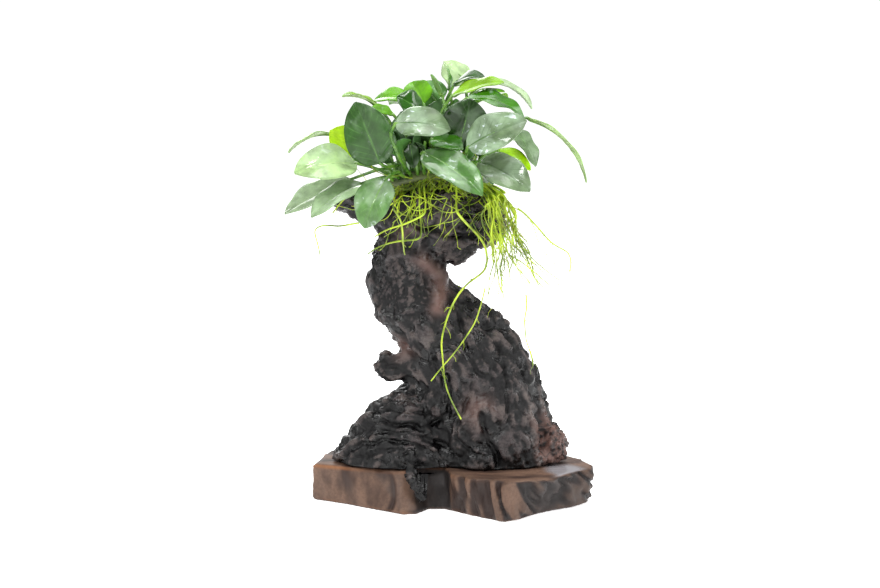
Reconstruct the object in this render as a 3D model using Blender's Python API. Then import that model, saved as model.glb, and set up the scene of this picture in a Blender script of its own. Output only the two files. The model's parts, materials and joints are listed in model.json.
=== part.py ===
"""Anubias on driftwood: a small water plant whose roots hold it to a piece of driftwood on a wooden slab.

Every length below is in millimetres, and a mesh is scaled to Blender's metres when its object is made.
+X is to the right as seen from the front, +Y is away from the front and +Z is up. The finished object
stands on the floor with the middle of its bounding box over the origin.
"""

import math
from collections import namedtuple

import bmesh
import bpy
from mathutils import Matrix, Vector, noise
from mathutils.bvhtree import BVHTree

MM = 0.001
UP = Vector((0, 0, 1))
# The gap left between two solids that meet.
GAP = 0.3
# Faces that meet at more than this many degrees are shaded with a sharp edge.
SHARP_ANGLE = 50

# Base slab
SLAB_THICKNESS = 20.0
SLAB_EDGE_ROUND = 1.2
SLAB_MIDDLE = (5, 2, 0)

# Driftwood
WOOD_VOXEL = 2.6
WOOD_TRIANGLES = 2000
WOOD_LUMP_SIZE = 9.0
WOOD_LUMP_HEIGHT = 1.1
# How fast the lumps fade from one octave of noise to the next, how much smaller they get, and the octaves.
WOOD_LUMP_NOISE = (1.0, 2.0, 3)
WOOD_SMOOTHING = 0.5
LIMB_SIDES = 20

# Leaves
LEAF_SIDES = 6
STALK_RADIUS = 0.95
STALK_RINGS = 3
STALK_CLEARANCE = 2.3
# How far a stalk's curve runs on straight at its two ends, as a share of the distance between them.
STALK_REACH = 0.35
# Stalks are pushed clear of their neighbours this many times, by this share of what is missing each time,
# and each stretch of a stalk is tested at these shares of its length.
STALK_ROUNDS = 60
STALK_PUSH = 0.3
STALK_TESTS = (0.0, 0.25, 0.5, 0.75)
BLADE_THICKNESS = 0.9
TIP_HALF_WIDTH = 0.3
TIP_HALF_THICKNESS = 0.25
# Share of the blade's length, and share of its full width there.
BLADE_OUTLINE = ((0.0, 0.0), (0.07, 0.52), (0.23, 0.93), (0.45, 1.0), (0.69, 0.86), (0.88, 0.5), (1.0, 0.05))

# Rhizome and roots
RHIZOME_RADIUS = 3.3
RHIZOME_SIDES = 10
RHIZOME_STEP = 4.0
# The radius at the very ends, as a share of the radius in the middle.
RHIZOME_TAPER = 0.55
RHIZOME_ROUTE = ((-25, 1, 161), (-14, -1, 164), (-2, 0, 165.5), (10, 1, 165), (21, 3, 162))
# Stalks leave the rhizome up to three abreast. These are the degrees that one, two or three of them lean
# to the back, and the lengths of rhizome left bare at its left end and at both ends together.
FOOT_LEANS = ((-35,), (-35, 35), (-62, 0, 62))
FOOT_STEP = 1.0
BARE_LEFT_STEPS = 2
BARE_STEPS = 5
ROOT_SIDES = 6
ROOT_STEP = 4.0
ROOT_CLEARANCE = 0.5
ROOT_SMOOTHINGS = 3

Leaf = namedtuple("Leaf", "name base tip width facing bow tone")

# A leaf's base is where the stalk meets the blade. Its facing is the way its upper side looks, and its
# bow is how far the middle of the blade stands proud of the straight line from base to tip.
LEAVES = (
    Leaf("left_drooping", (-53, 4, 186), (-75, -2, 177), 14, (-0.2, 0.05, 1), 3, "fresh"),
    Leaf("left_yellow", (-39, -3, 178), (-54, -6, 188), 17, (-0.3, -0.9, 0.3), 1, "young"),
    Leaf("left_pale", (-41, -13, 172.5), (-70, -26, 169), 23, (-0.15, -0.75, 0.65), 3, "fresh"),
    Leaf("left_large_dark", (-29, -20, 173), (-40.5, -27, 203), 25, (0.0, -0.97, 0.2), 3, "mature"),
    Leaf("left_low_outer", (-44, -5, 164), (-76, -14, 148), 18, (-0.25, -0.55, 0.8), 2, "mature"),
    Leaf("left_low_inner", (-38, -15, 163), (-62, -29, 148), 16, (-0.3, -0.6, 0.75), 3, "green"),
    Leaf("left_hanging", (-26, -27, 166), (-36, -33, 143), 20, (-0.3, -0.9, 0.35), 3, "green"),
    Leaf("top_left_edge", (-31, 1, 200), (-48, -3, 205), 13, (0.2, 0.0, 1), 2, "fresh"),
    Leaf("top_left_bright", (-16, 9, 203), (-33, 14, 202), 15, (0.0, -0.55, 0.8), 2, "bright"),
    Leaf("top_centre_bright", (-8, -3, 201), (-14, 6, 211.5), 15, (-0.1, -0.85, 0.5), 1, "bright"),
    Leaf("top_centre_dark", (-10, -12, 197), (-21, -15, 205), 15, (-0.1, -0.7, 0.7), 2, "mature"),
    Leaf("centre_pale", (-21, -35, 193.5), (5, -39, 190.5), 19, (0.1, -0.8, 0.6), 3, "grey"),
    Leaf("small_bright", (-23, -6, 196), (-34, -9, 199), 9, (0.0, -0.5, 0.85), 1, "bright"),
    Leaf("top_back_pale", (13, 22, 210), (2, 26, 220.5), 16, (0.1, -0.8, 0.55), 1, "fresh"),
    Leaf("top_upright_right", (5, 12, 207), (4, 15, 218), 7, (1, -0.2, 0.1), 0.5, "green"),
    Leaf("top_upright_left", (1, 4, 205), (-4, 7, 215), 7, (-0.9, -0.3, -0.2), 0.5, "green"),
    Leaf("top_dark", (7, 4, 210), (22, -1, 214), 14, (0.0, -0.3, 0.95), 2, "mature"),
    Leaf("top_long_light", (6, -7, 205), (31, -13, 212), 14, (-0.2, -0.4, 0.9), 2, "fresh"),
    Leaf("right_top_pale", (23, 12, 211.5), (46, 8, 198), 16, (0.5, -0.35, 0.75), 4, "fresh"),
    Leaf("right_top_thin", (15, 4, 204), (32, 3, 207), 10, (0.0, -0.35, 0.9), 1, "bright"),
    Leaf("right_long", (13, -18, 204.5), (41, -17, 195), 15, (0.3, -0.35, 0.9), 4, "green"),
    Leaf("right_drooping", (43, 0, 194), (73, 0, 162), 11, (0.6, 0.05, 0.75), 6, "fresh"),
    Leaf("right_dark_glossy", (10, -19, 185), (15, -24, 204.5), 24, (0.1, -0.95, 0.25), 2, "dark"),
    Leaf("right_large_grey", (13, -33, 182), (41, -37, 195), 20, (0.1, -0.85, 0.5), 3, "grey"),
    Leaf("right_outer", (36, -9, 189), (47, -13, 171), 12, (0.5, -0.7, 0.5), 2, "mature"),
    Leaf("right_yellow", (28, -15, 179), (44, -20, 170), 12, (0.2, -0.6, 0.75), 1, "young"),
    Leaf("front_large_glossy", (-8, -25, 179), (20, -46, 160.5), 20, (0.25, -0.7, 0.65), 3, "green"),
    Leaf("right_low_large", (19, -20, 174), (43, -34, 161), 20, (0.15, -0.75, 0.6), 3, "grey"),
    Leaf("front_small_glossy", (-4, -19, 185), (11, -29, 181), 12, (0.0, -0.5, 0.85), 1, "green"),
    Leaf("front_small_dark", (-14.5, -12, 182), (-12.5, -15, 170.5), 8, (0.0, -1, 0.15), 1, "dark"),
    Leaf("top_filler_dark", (-1, 8, 200), (-9, 14, 211), 18, (-0.2, -0.8, 0.5), 1, "mature"),
    Leaf("back_left_low", (-34, 13, 173), (-60, 25, 162), 19, (-0.3, 0.4, 0.85), 3, "green"),
    Leaf("back_left", (-24, 23, 181), (-48, 43, 172), 20, (-0.3, 0.6, 0.7), 3, "mature"),
    Leaf("back_left_top", (-9, 21, 198), (-26, 39, 199), 18, (-0.2, 0.5, 0.85), 2, "green"),
    Leaf("back_centre_low", (-10, 25, 170), (-22, 47, 157), 19, (-0.2, 0.7, 0.6), 3, "mature"),
    Leaf("back_centre", (0, 27, 190), (-2, 54, 180), 21, (0.0, 0.6, 0.8), 3, "green"),
    Leaf("back_right_low", (14, 24, 168), (27, 46, 156), 19, (0.2, 0.7, 0.6), 3, "dark"),
    Leaf("back_right", (15, 27, 186), (29, 50, 176), 20, (0.25, 0.6, 0.7), 3, "mature"),
    Leaf("back_right_top", (18, 20, 201), (34, 35, 200), 17, (0.2, 0.4, 0.9), 2, "bright"),
    Leaf("right_side", (27, 17, 184), (46, 33, 175), 18, (0.4, 0.25, 0.85), 3, "green"),
)

# Front rim of the slab from left to right, then its back from right to left: x and y of the top edge,
# then x and y of the bottom edge under it.
SLAB_RIM = (
    (-64, -4, -65, 0),
    (-49, -9, -50, -8),
    (-34, -14, -34, -19),
    (-20, -18, -19, -29),
    (-14, -16, -12, -28),
    (-9, -11, -6, -19),
    (2, -12, 2, -19),
    (6, -25, 7, -23),
    (15, -34, 14, -29),
    (25, -36, 23, -36),
    (34, -40, 32, -42),
    (43, -38, 40, -37),
    (52, -36, 48, -28),
    (62, -25, 57, -21),
    (69, -18, 67, -15),
    (76, -15, 73, -9),
    (77.5, -7, 77, 2),
    (71, 8, 72, 13),
    (62, 17, 63, 21),
    (46, 26, 47, 28),
    (25, 32, 25, 33),
    (0, 35, 0, 36),
    (-25, 35, -25, 36),
    (-45, 31, -46, 32),
    (-57.5, 24, -60, 25),
    (-61, 10, -65, 12),
)

# Upright limbs of the driftwood, from the bottom up: x, y and z of a level section, then its half width
# and its half depth.
TRUNK = (
    (27, 4, 14, 31, 24),
    (27, 4, 28, 33, 24),
    (21, 4, 40, 33, 23.5),
    (17, 3.5, 52, 34, 22),
    (14.5, 3, 65, 32, 20),
    (10.5, 3, 77, 30, 18.5),
    (3.5, 3, 87, 28, 17),
    (-4, 3.5, 92, 28.5, 16),
    (-5.5, 4, 98, 27.5, 15.5),
    (-14, 5, 107, 22.5, 14.5),
    (-16.5, 5, 115, 19.5, 14),
    (-16, 5, 123, 19, 14),
    (-11.5, 4.5, 131, 21.5, 14.5),
    (-6, 4, 139, 25, 16.5),
    (-3, 3, 147, 28, 18),
    (-3, 3, 154, 26, 16),
    (-3, 3, 158, 18, 11),
)
KNEE = (
    (-19, 5, 14, 35, 23),
    (-19.5, 4, 24, 34, 23),
    (-19, 3, 33, 29, 21.5),
    (-17, 2, 42, 24, 19.5),
    (-16, 1, 50, 18, 16),
    (-12, 2, 56, 12, 12),
)
RIGHT_LUMP = (
    (8, 5, 121, 5, 7),
    (9, 4, 126, 7, 11),
    (11, 3, 130, 10, 13),
    (16, 2, 135, 13, 13.5),
    (18, 2, 141, 14.5, 14),
    (18, 3, 148, 14.5, 14),
    (17, 4, 154, 12, 12),
    (15, 4, 158, 8, 7),
)
BURL = (
    (57, -2, 20, 4, 5),
    (57, -2, 25, 7.5, 9),
    (57, -2, 33, 7.5, 9),
    (56, -2, 40, 4, 6),
)
# Branches that reach out sideways: x, y and z on the middle line, then the radius there.
LEFT_ARM = (
    (-14, 6, 148, 13),
    (-28, 6, 149, 11),
    (-40, 7, 150.5, 8.5),
    (-50, 9, 153, 6.5),
    (-56, 10, 155, 4),
)
STUB = (
    (-10, 0, 69, 7.5),
    (-20, -1, 69, 7),
    (-28, -2, 69.5, 7.2),
    (-32, -2, 70, 4.5),
)
BACK_RIDGE = (
    (50.5, 13, 30, 8.5),
    (48, 13, 45, 8.5),
    (43, 12, 60, 8),
    (36, 10, 75, 7.5),
    (26, 9, 89, 7),
    (12, 8, 100, 7),
    (-4, 8, 110, 7),
)

# Where the driftwood forks: a point on the plane of the fork and the way that the plane faces.
FORK_FEET = ((-16, 0, 61.6), (0.1, 0, 1))
FORK_KNEE = ((7, 0, 40), (0.91, 0, 0.4))
FORK_NECK = ((-12, 0, 102), (-0.46, 0, 0.89))
FORK_RIGHT_ARM = ((0, 0, 128), (0.72, 0, 0.69))
FORK_LEFT_ARM = ((-20, 0, 137), (-0.35, 0, 0.94))

# The root that hangs over the front edge of the slab: x, y, z and the radius.
DRIP_ROOT = (
    (-15, -24, 27, 2.2),
    (-14, -25, 21, 3),
    (-12, -26, 15, 2.8),
    (-9, -25, 9, 2.6),
    (-4, -23, 5.5, 1.2),
)

# Routes of the single roots, from the plant to the tip, with the radius at each end.
Root = namedtuple("Root", "name start_radius end_radius route")
ROOTS = (
    Root("root_long_front", 0.8, 0.45, (
        (8, -21, 150), (12, -20, 144.6), (17.5, -18, 139.4), (22, -13, 132), (23.5, -10, 123),
        (21, -10, 117), (15, -11, 115), (9, -13, 109), (5, -15, 103), (2, -17, 95), (0, -18, 87),
        (0, -19, 81), (2, -20, 75), (1.5, -20, 66), (5, -21, 57), (11, -22, 46))),
    Root("root_crossing", 0.5, 0.4, (
        (22.5, -12, 112), (21.5, -12, 106), (19, -14, 102), (20, -16, 97), (14, -18, 89), (8, -20, 80),
        (-1, -21, 71), (-5, -21, 65))),
    Root("root_left_low", 0.7, 0.4, ((-8, -22, 149), (-16, -22.5, 145.5), (-25, -21, 141), (-33, -16, 137))),
    Root("root_left_arc", 0.7, 0.4, (
        (-10, -18, 136), (-17, -18, 135), (-25, -16, 133), (-34, -13, 132), (-36, -11, 127))),
    Root("root_hanging_front", 0.6, 0.4, (
        (-23, -24, 153), (-19, -26, 149), (-17.5, -24, 140), (-17, -19, 127))),
    Root("root_left_arm", 0.6, 0.4, ((-40, -3, 157), (-48, -3, 156), (-50, -4, 151), (-54, -5, 146))),
    Root("root_left_strand", 0.6, 0.35, (
        (-38, -18, 144), (-46, -19, 143.5), (-54, -19, 142.5), (-62, -19, 143), (-61, -19, 136),
        (-58, -19, 127))),
    Root("root_right_far", 0.6, 0.35, (
        (37, -12, 151), (46, -12, 145), (53, -11, 134), (58, -11, 130), (64, -11, 129), (66, -11, 124),
        (64, -11, 118))),
    Root("root_right_hanging", 0.5, 0.3, (
        (42, -18, 110), (43, -18, 102), (42, -18, 92), (44, -18, 82), (46, -18, 73))),
)

# Solids that reach as far as the fine roots do: x, y, z, then the half width and the half depth.
ROOT_BUNDLES = {
    "root_bundle_right": (
        (26, -17, 158, 4, 3), (29, -18, 150, 7, 4), (32, -18, 140, 9, 5), (35, -18, 130, 9.5, 5),
        (41, -17, 122, 9, 4), (52, -16, 116, 5, 3), (62, -15, 112, 1.5, 1.5)),
    "root_mat_front": (
        (-33, -7, 152, 4, 1), (-28, -12, 150, 8, 1.4), (-20, -16, 149, 10, 1.4), (-10, -18, 149, 11, 1.4),
        (-1, -18, 149, 10, 1.4), (4, -17, 150, 6, 1)),
}

LEAF_COLOURS = {
    "young": (0.50, 0.66, 0.02),
    "fresh": (0.36, 0.56, 0.10),
    "bright": (0.14, 0.44, 0.02),
    "green": (0.07, 0.26, 0.04),
    "grey": (0.16, 0.28, 0.15),
    "mature": (0.04, 0.15, 0.04),
    "dark": (0.02, 0.08, 0.03),
}
LEAF_ROUGHNESS = 0.35


def clear_scene():
    for obj in list(bpy.data.objects):
        bpy.data.objects.remove(obj)


def plain_material(name, colour, roughness):
    material = bpy.data.materials.new(name)
    material.use_nodes = True
    shader = material.node_tree.nodes["Principled BSDF"]
    shader.inputs["Base Color"].default_value = (*colour, 1)
    shader.inputs["Roughness"].default_value = roughness
    shader.inputs["Metallic"].default_value = 0
    material.diffuse_color = (*colour, 1)
    return material


def object_from(bm, name, material):
    """Turns a bmesh in millimetres into an object in metres."""
    bmesh.ops.recalc_face_normals(bm, faces=bm.faces)
    bmesh.ops.scale(bm, vec=(MM, MM, MM), verts=bm.verts)
    mesh = bpy.data.meshes.new(name)
    bm.to_mesh(mesh)
    bm.free()
    mesh.materials.append(material)
    mesh.shade_smooth()
    mesh.set_sharp_from_angle(angle=math.radians(SHARP_ANGLE))
    obj = bpy.data.objects.new(name, mesh)
    bpy.context.scene.collection.objects.link(obj)
    return obj


def section(centre, across, along, half_width, half_depth):
    """The matrix that turns a unit circle into one elliptical section of a loft."""
    across = (across - along * across.dot(along)).normalized()
    upward = along.cross(across)
    matrix = Matrix((across * half_width, upward * half_depth, along)).transposed().to_4x4()
    matrix.translation = centre
    return matrix


def loft(bm, sections, sides):
    """Adds a closed solid: a circle is extruded from section to section, and both ends are filled."""
    start = bmesh.ops.create_circle(bm, segments=sides, radius=1, matrix=sections[0])
    edges = list({edge for vert in start["verts"] for edge in vert.link_edges})
    rim = list(edges)
    for before, after in zip(sections, sections[1:]):
        grown = bmesh.ops.extrude_edge_only(bm, edges=edges)["geom"]
        edges = [item for item in grown if isinstance(item, bmesh.types.BMEdge)]
        verts = [item for item in grown if isinstance(item, bmesh.types.BMVert)]
        bmesh.ops.transform(bm, matrix=after @ before.inverted(), verts=verts)
    rim += [edge for edge in edges if edge.is_boundary]
    bmesh.ops.holes_fill(bm, edges=rim, sides=sides)


def level_sections(rows):
    return [
        section(Vector(row[:3]), Vector((1, 0, 0)), UP, row[3], row[4])
        for row in rows
    ]


def path_directions(points):
    """The way a path runs at each of its points."""
    last = len(points) - 1
    return [
        (points[min(i + 1, last)] - points[max(i - 1, 0)]).normalized()
        for i in range(len(points))
    ]


def path_sections(points, half_widths, half_depths, across):
    """Sections square to a path: the first one's width runs along across, and the rest barely turn."""
    directions = path_directions(points)
    sections = []
    before = directions[0]
    for point, along, width, depth in zip(points, directions, half_widths, half_depths):
        across = before.rotation_difference(along) @ across
        before = along
        sections.append(section(point, across, along, width, depth))
    return sections


def tube(bm, rows, sides):
    """A round limb through rows of x, y, z and radius."""
    points = [Vector(row[:3]) for row in rows]
    radii = [row[3] for row in rows]
    across = path_directions(points)[0].orthogonal()
    loft(bm, path_sections(points, radii, radii, across), sides)


def smooth_route(points, step):
    """Points a step apart on a smooth curve through the route's own points."""
    points = [Vector(point) for point in points]
    padded = [2 * points[0] - points[1], *points, 2 * points[-1] - points[-2]]
    route = [points[0]]
    for a, b, c, d in zip(padded, padded[1:], padded[2:], padded[3:]):
        count = max(1, round((c - b).length / step))
        for i in range(1, count + 1):
            t = i / count
            curve = 2 * b + (c - a) * t
            curve += (2 * a - 5 * b + 4 * c - d) * t**2
            curve += (3 * b - a - 3 * c + d) * t**3
            route.append(curve / 2)
    return route


def make_slab():
    bm = bmesh.new()
    middle = Vector(SLAB_MIDDLE)
    levels = (
        (0, 1, SLAB_EDGE_ROUND),
        (SLAB_EDGE_ROUND, 1, 0),
        (SLAB_THICKNESS - SLAB_EDGE_ROUND, 0, 0),
        (SLAB_THICKNESS, 0, SLAB_EDGE_ROUND),
    )
    rings = []
    for height, bottom_share, inset in levels:
        ring = []
        for top_x, top_y, bottom_x, bottom_y in SLAB_RIM:
            top, bottom = Vector((top_x, top_y, 0)), Vector((bottom_x, bottom_y, 0))
            point = top.lerp(bottom, bottom_share)
            point += (middle - point).normalized() * inset
            ring.append(bm.verts.new((point.x, point.y, height)))
        bm.faces.new(ring)
        rings.append(ring)
    for face in list(bm.faces)[1:-1]:
        bmesh.ops.delete(bm, geom=[face], context="FACES_ONLY")
    loops = [[edge for edge in bm.edges if set(edge.verts) <= set(ring)] for ring in rings]
    for lower, upper in zip(loops, loops[1:]):
        bmesh.ops.bridge_loops(bm, edges=lower + upper)
    return object_from(bm, "base_slab", plain_material("slab_wood", (0.13, 0.075, 0.05), 0.6))


def whole_driftwood():
    """The driftwood in one piece: its limbs are joined by a voxel remesh, made lumpy and thinned out."""
    bm = bmesh.new()
    for rows in (TRUNK, KNEE, RIGHT_LUMP, BURL):
        loft(bm, level_sections(rows), LIMB_SIDES)
    for rows in (LEFT_ARM, STUB, BACK_RIDGE):
        tube(bm, rows, LIMB_SIDES)
    limbs = object_from(bm, "driftwood_limbs", None)
    limbs.hide_render = True
    limbs.display_type = "WIRE"
    remesh = limbs.modifiers.new("Union", "REMESH")
    remesh.mode = "VOXEL"
    remesh.voxel_size = WOOD_VOXEL * MM
    whole = evaluated_bmesh(limbs)
    bpy.data.objects.remove(limbs)
    for vert in whole.verts:
        lump = noise.fractal(vert.co / WOOD_LUMP_SIZE, *WOOD_LUMP_NOISE)
        vert.co += vert.normal * lump * WOOD_LUMP_HEIGHT
    bmesh.ops.smooth_vert(
        whole, verts=whole.verts, factor=WOOD_SMOOTHING, use_axis_x=True, use_axis_y=True, use_axis_z=True
    )
    return thinned(whole, WOOD_TRIANGLES)


def evaluated_bmesh(obj):
    """A bmesh in millimetres of an object with its modifiers."""
    graph = bpy.context.evaluated_depsgraph_get()
    mesh = bpy.data.meshes.new_from_object(obj.evaluated_get(graph))
    bm = bmesh.new()
    bm.from_mesh(mesh)
    bpy.data.meshes.remove(mesh)
    bmesh.ops.scale(bm, vec=(1 / MM, 1 / MM, 1 / MM), verts=bm.verts)
    return bm


def thinned(bm, triangles):
    """The same surface with about this many triangles."""
    bmesh.ops.triangulate(bm, faces=bm.faces)
    share = triangles / len(bm.faces)
    obj = object_from(bm, "driftwood_fine", None)
    decimate = obj.modifiers.new("Thin", "DECIMATE")
    decimate.ratio = share
    result = evaluated_bmesh(obj)
    bpy.data.objects.remove(obj)
    return result


def halves(bm, plane):
    """Cuts a solid at a plane: first what lies on the side that the plane faces, then the rest."""
    point, facing = Vector(plane[0]), Vector(plane[1]).normalized()
    parts = []
    for side in (1, -1):
        part = bm.copy()
        outward = facing * -side
        everything = [*part.verts, *part.edges, *part.faces]
        bmesh.ops.bisect_plane(
            part, geom=everything, plane_co=point - outward * GAP / 2, plane_no=outward, clear_outer=True
        )
        bmesh.ops.holes_fill(part, edges=[edge for edge in part.edges if edge.is_boundary], sides=0)
        parts.append(part)
    bm.free()
    return parts


def make_driftwood(whole, material):
    """Splits the driftwood at its forks."""
    standing, inside_slab = halves(whole, ((0, 0, SLAB_THICKNESS + GAP / 2), UP))
    inside_slab.free()
    upper, feet = halves(standing, FORK_FEET)
    heel, knee = halves(feet, FORK_KNEE)
    top, trunk = halves(upper, FORK_NECK)
    right_arm, rest = halves(top, FORK_RIGHT_ARM)
    left_arm, neck = halves(rest, FORK_LEFT_ARM)
    pieces = {
        "driftwood_trunk": trunk,
        "driftwood_knee_root": knee,
        "driftwood_heel_root": heel,
        "driftwood_neck": neck,
        "driftwood_left_arm": left_arm,
        "driftwood_right_arm": right_arm,
    }
    return [object_from(piece, name, material) for name, piece in pieces.items()]


def make_drip_root(material):
    bm = bmesh.new()
    tube(bm, DRIP_ROOT, RHIZOME_SIDES)
    return object_from(bm, "driftwood_drip_root", material)


def clear_of(surface, point, margin):
    """The point itself, or the nearest one that keeps the margin to a surface."""
    near, normal, _, _ = surface.find_nearest(point)
    if (point - near).dot(normal) < margin:
        return near + normal * margin
    return point


def make_rhizome():
    bm = bmesh.new()
    route = smooth_route(RHIZOME_ROUTE, RHIZOME_STEP)
    radii = [RHIZOME_RADIUS] * len(route)
    radii[0] *= RHIZOME_TAPER
    radii[-1] *= RHIZOME_TAPER
    rows = [(*point, radius) for point, radius in zip(route, radii)]
    tube(bm, rows, RHIZOME_SIDES)
    return object_from(bm, "rhizome", plain_material("rhizome_green", (0.12, 0.17, 0.04), 0.5))


def blade_line(leaf):
    """The middle line of a blade, the way across it, and its half width at each point."""
    base, tip, facing = Vector(leaf.base), Vector(leaf.tip), Vector(leaf.facing)
    axis = (tip - base).normalized()
    across = axis.cross(facing).normalized()
    outward = across.cross(axis)
    points, widths = [], []
    for share, width in BLADE_OUTLINE:
        points.append(base.lerp(tip, share) + outward * leaf.bow * 4 * share * (1 - share))
        widths.append(max(width * leaf.width / 2, STALK_RADIUS if share < 0.5 else TIP_HALF_WIDTH))
    return points, across, widths


def stalk_feet():
    """Where each stalk leaves the rhizome: the leaves share out its length, three abreast."""
    route = smooth_route(RHIZOME_ROUTE, FOOT_STEP)
    order = sorted(LEAVES, key=lambda leaf: leaf.base[0])
    feet = {}
    for start in range(0, len(order), 3):
        abreast = sorted(order[start:start + 3], key=lambda leaf: leaf.base[1])
        place = BARE_LEFT_STEPS + start * (len(route) - BARE_STEPS) / len(order)
        centre = route[int(place)].lerp(route[int(place) + 1], place % 1)
        for leaf, lean in zip(abreast, FOOT_LEANS[len(abreast) - 1]):
            angle = math.radians(lean)
            outward = Vector((0, math.sin(angle), math.cos(angle)))
            feet[leaf.name] = centre + outward * (RHIZOME_RADIUS + 2 * GAP), outward
    return feet


def first_stalk(leaf, foot, outward):
    """A stalk's points from foot to blade: out of the rhizome first, then over into the blade."""
    base = Vector(leaf.base)
    axis = (Vector(leaf.tip) - base).normalized()
    reach = (base - foot).length * STALK_REACH
    arriving = (axis + (base - foot).normalized()).normalized()
    leaving = foot + outward * reach
    meeting = base - arriving * reach
    points = []
    for i in range(STALK_RINGS + 1):
        t = i / (STALK_RINGS + 1)
        curve = foot * (1 - t) ** 3 + leaving * 3 * t * (1 - t) ** 2
        curve += meeting * 3 * t**2 * (1 - t) + base * t**3
        points.append(curve)
    return points


def blades_surface(lines):
    """One surface of all the blades, and the number of the leaf that each of its faces belongs to."""
    corners, faces, owners = [], [], []
    for owner, (points, across, widths) in enumerate(lines):
        start = len(corners)
        for point, width in zip(points, widths):
            corners += [point - across * width, point + across * width]
        for i in range(len(points) - 1):
            first = start + 2 * i
            faces.append((first, first + 1, first + 3, first + 2))
            owners.append(owner)
    return BVHTree.FromPolygons(corners, faces), owners


def push_from_blades(point, owner, surface, owners):
    push = Vector()
    for near, _, face, distance in surface.find_nearest_range(point, STALK_CLEARANCE):
        if owners[face] != owner and distance > 0:
            push += (point - near) / distance * (STALK_CLEARANCE - distance)
    return push


def push_from_stalks(point, owner, stalks):
    push = Vector()
    for other, stalk in enumerate(stalks):
        if other == owner:
            continue
        for start, end in zip(stalk, stalk[1:]):
            line = end - start
            share = max(0.0, min(1.0, (point - start).dot(line) / line.length_squared))
            away = point - start - line * share
            if 0 < away.length < STALK_CLEARANCE + STALK_RADIUS:
                push += away.normalized() * (STALK_CLEARANCE + STALK_RADIUS - away.length)
    return push


def routed_stalks(lines, wood):
    """Every stalk, bent until it passes clear of the other leaves and of the driftwood."""
    feet = stalk_feet()
    stalks = []
    for leaf in LEAVES:
        foot, outward = feet[leaf.name]
        stalks.append(first_stalk(leaf, foot, outward) + [Vector(leaf.base)])
    surface, owners = blades_surface(lines)
    for _ in range(STALK_ROUNDS):
        for owner, stalk in enumerate(stalks):
            pushes = [Vector() for _ in stalk]
            for i in range(len(stalk) - 1):
                for share in STALK_TESTS:
                    point = stalk[i].lerp(stalk[i + 1], share)
                    push = push_from_blades(point, owner, surface, owners)
                    push += push_from_stalks(point, owner, stalks)
                    pushes[i] += push * (1 - share)
                    pushes[i + 1] += push * share
            for i in range(1, len(stalk) - 1):
                stalk[i] = clear_of(wood, stalk[i] + pushes[i] * STALK_PUSH, STALK_CLEARANCE)
    return [stalk[:-1] for stalk in stalks]


def make_leaf(leaf, line, stalk, material):
    """One leaf as grown: stalk and blade in one solid."""
    blade, across, half_widths = line
    points = stalk + blade
    widths = [STALK_RADIUS] * len(stalk) + half_widths
    depths = [STALK_RADIUS] * (len(stalk) + 1)
    depths += [BLADE_THICKNESS / 2] * (len(blade) - 2)
    depths.append(TIP_HALF_THICKNESS)
    directions = path_directions(points)
    foot_across = across
    for later, earlier in zip(directions[len(stalk)::-1], directions[len(stalk) - 1::-1]):
        foot_across = later.rotation_difference(earlier) @ foot_across
    bm = bmesh.new()
    loft(bm, path_sections(points, widths, depths, foot_across), LEAF_SIDES)
    return object_from(bm, "leaf_" + leaf.name, material)


def make_leaves(wood):
    lines = [blade_line(leaf) for leaf in LEAVES]
    materials = {
        tone: plain_material("leaf_" + tone, colour, LEAF_ROUGHNESS)
        for tone, colour in LEAF_COLOURS.items()
    }
    return [
        make_leaf(leaf, line, stalk, materials[leaf.tone])
        for leaf, line, stalk in zip(LEAVES, lines, routed_stalks(lines, wood))
    ]


def make_root(root, wood, material):
    route = smooth_route(root.route, ROOT_STEP)
    for _ in range(ROOT_SMOOTHINGS):
        route = [clear_of(wood, point, root.start_radius + ROOT_CLEARANCE) for point in route]
        inner = [(a + b * 2 + c) / 4 for a, b, c in zip(route, route[1:], route[2:])]
        route = [route[0], *inner, route[-1]]
    route = [clear_of(wood, point, root.start_radius + ROOT_CLEARANCE) for point in route]
    last = len(route) - 1
    radii = [root.start_radius + (root.end_radius - root.start_radius) * i / last for i in range(len(route))]
    bm = bmesh.new()
    tube(bm, [(*point, radius) for point, radius in zip(route, radii)], ROOT_SIDES)
    return object_from(bm, root.name, material)


def make_bundle(name, rows, wood, material):
    points = [clear_of(wood, Vector(row[:3]), row[4] + ROOT_CLEARANCE) for row in rows]
    widths = [row[3] for row in rows]
    depths = [row[4] for row in rows]
    across = UP.cross(Vector((0, 1, 0))) if name == "root_bundle_right" else UP
    bm = bmesh.new()
    loft(bm, path_sections(points, widths, depths, across), RHIZOME_SIDES)
    return object_from(bm, name, material)


def centre_over_origin(objects):
    """Moves everything so that the middle of the bounding box is over the origin."""
    corners = [vert.co for obj in objects for vert in obj.data.vertices]
    middle_x = (min(co.x for co in corners) + max(co.x for co in corners)) / 2
    middle_y = (min(co.y for co in corners) + max(co.y for co in corners)) / 2
    for obj in objects:
        obj.data.transform(Matrix.Translation((-middle_x, -middle_y, 0)))


def main():
    clear_scene()
    driftwood_material = plain_material("driftwood_dark", (0.022, 0.017, 0.016), 0.5)
    root_material = plain_material("root_green", (0.38, 0.52, 0.03), 0.45)
    whole = whole_driftwood()
    wood = BVHTree.FromBMesh(whole)
    objects = [make_slab(), make_rhizome(), make_drip_root(driftwood_material)]
    objects += make_driftwood(whole, driftwood_material)
    objects += make_leaves(wood)
    objects += [make_root(root, wood, root_material) for root in ROOTS]
    objects += [make_bundle(name, rows, wood, root_material) for name, rows in ROOT_BUNDLES.items()]
    centre_over_origin(objects)


main()
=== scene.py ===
import json
import math
import random

import bmesh
import bpy
import numpy as np
from mathutils import Matrix, Vector
from mathutils.bvhtree import BVHTree


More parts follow.
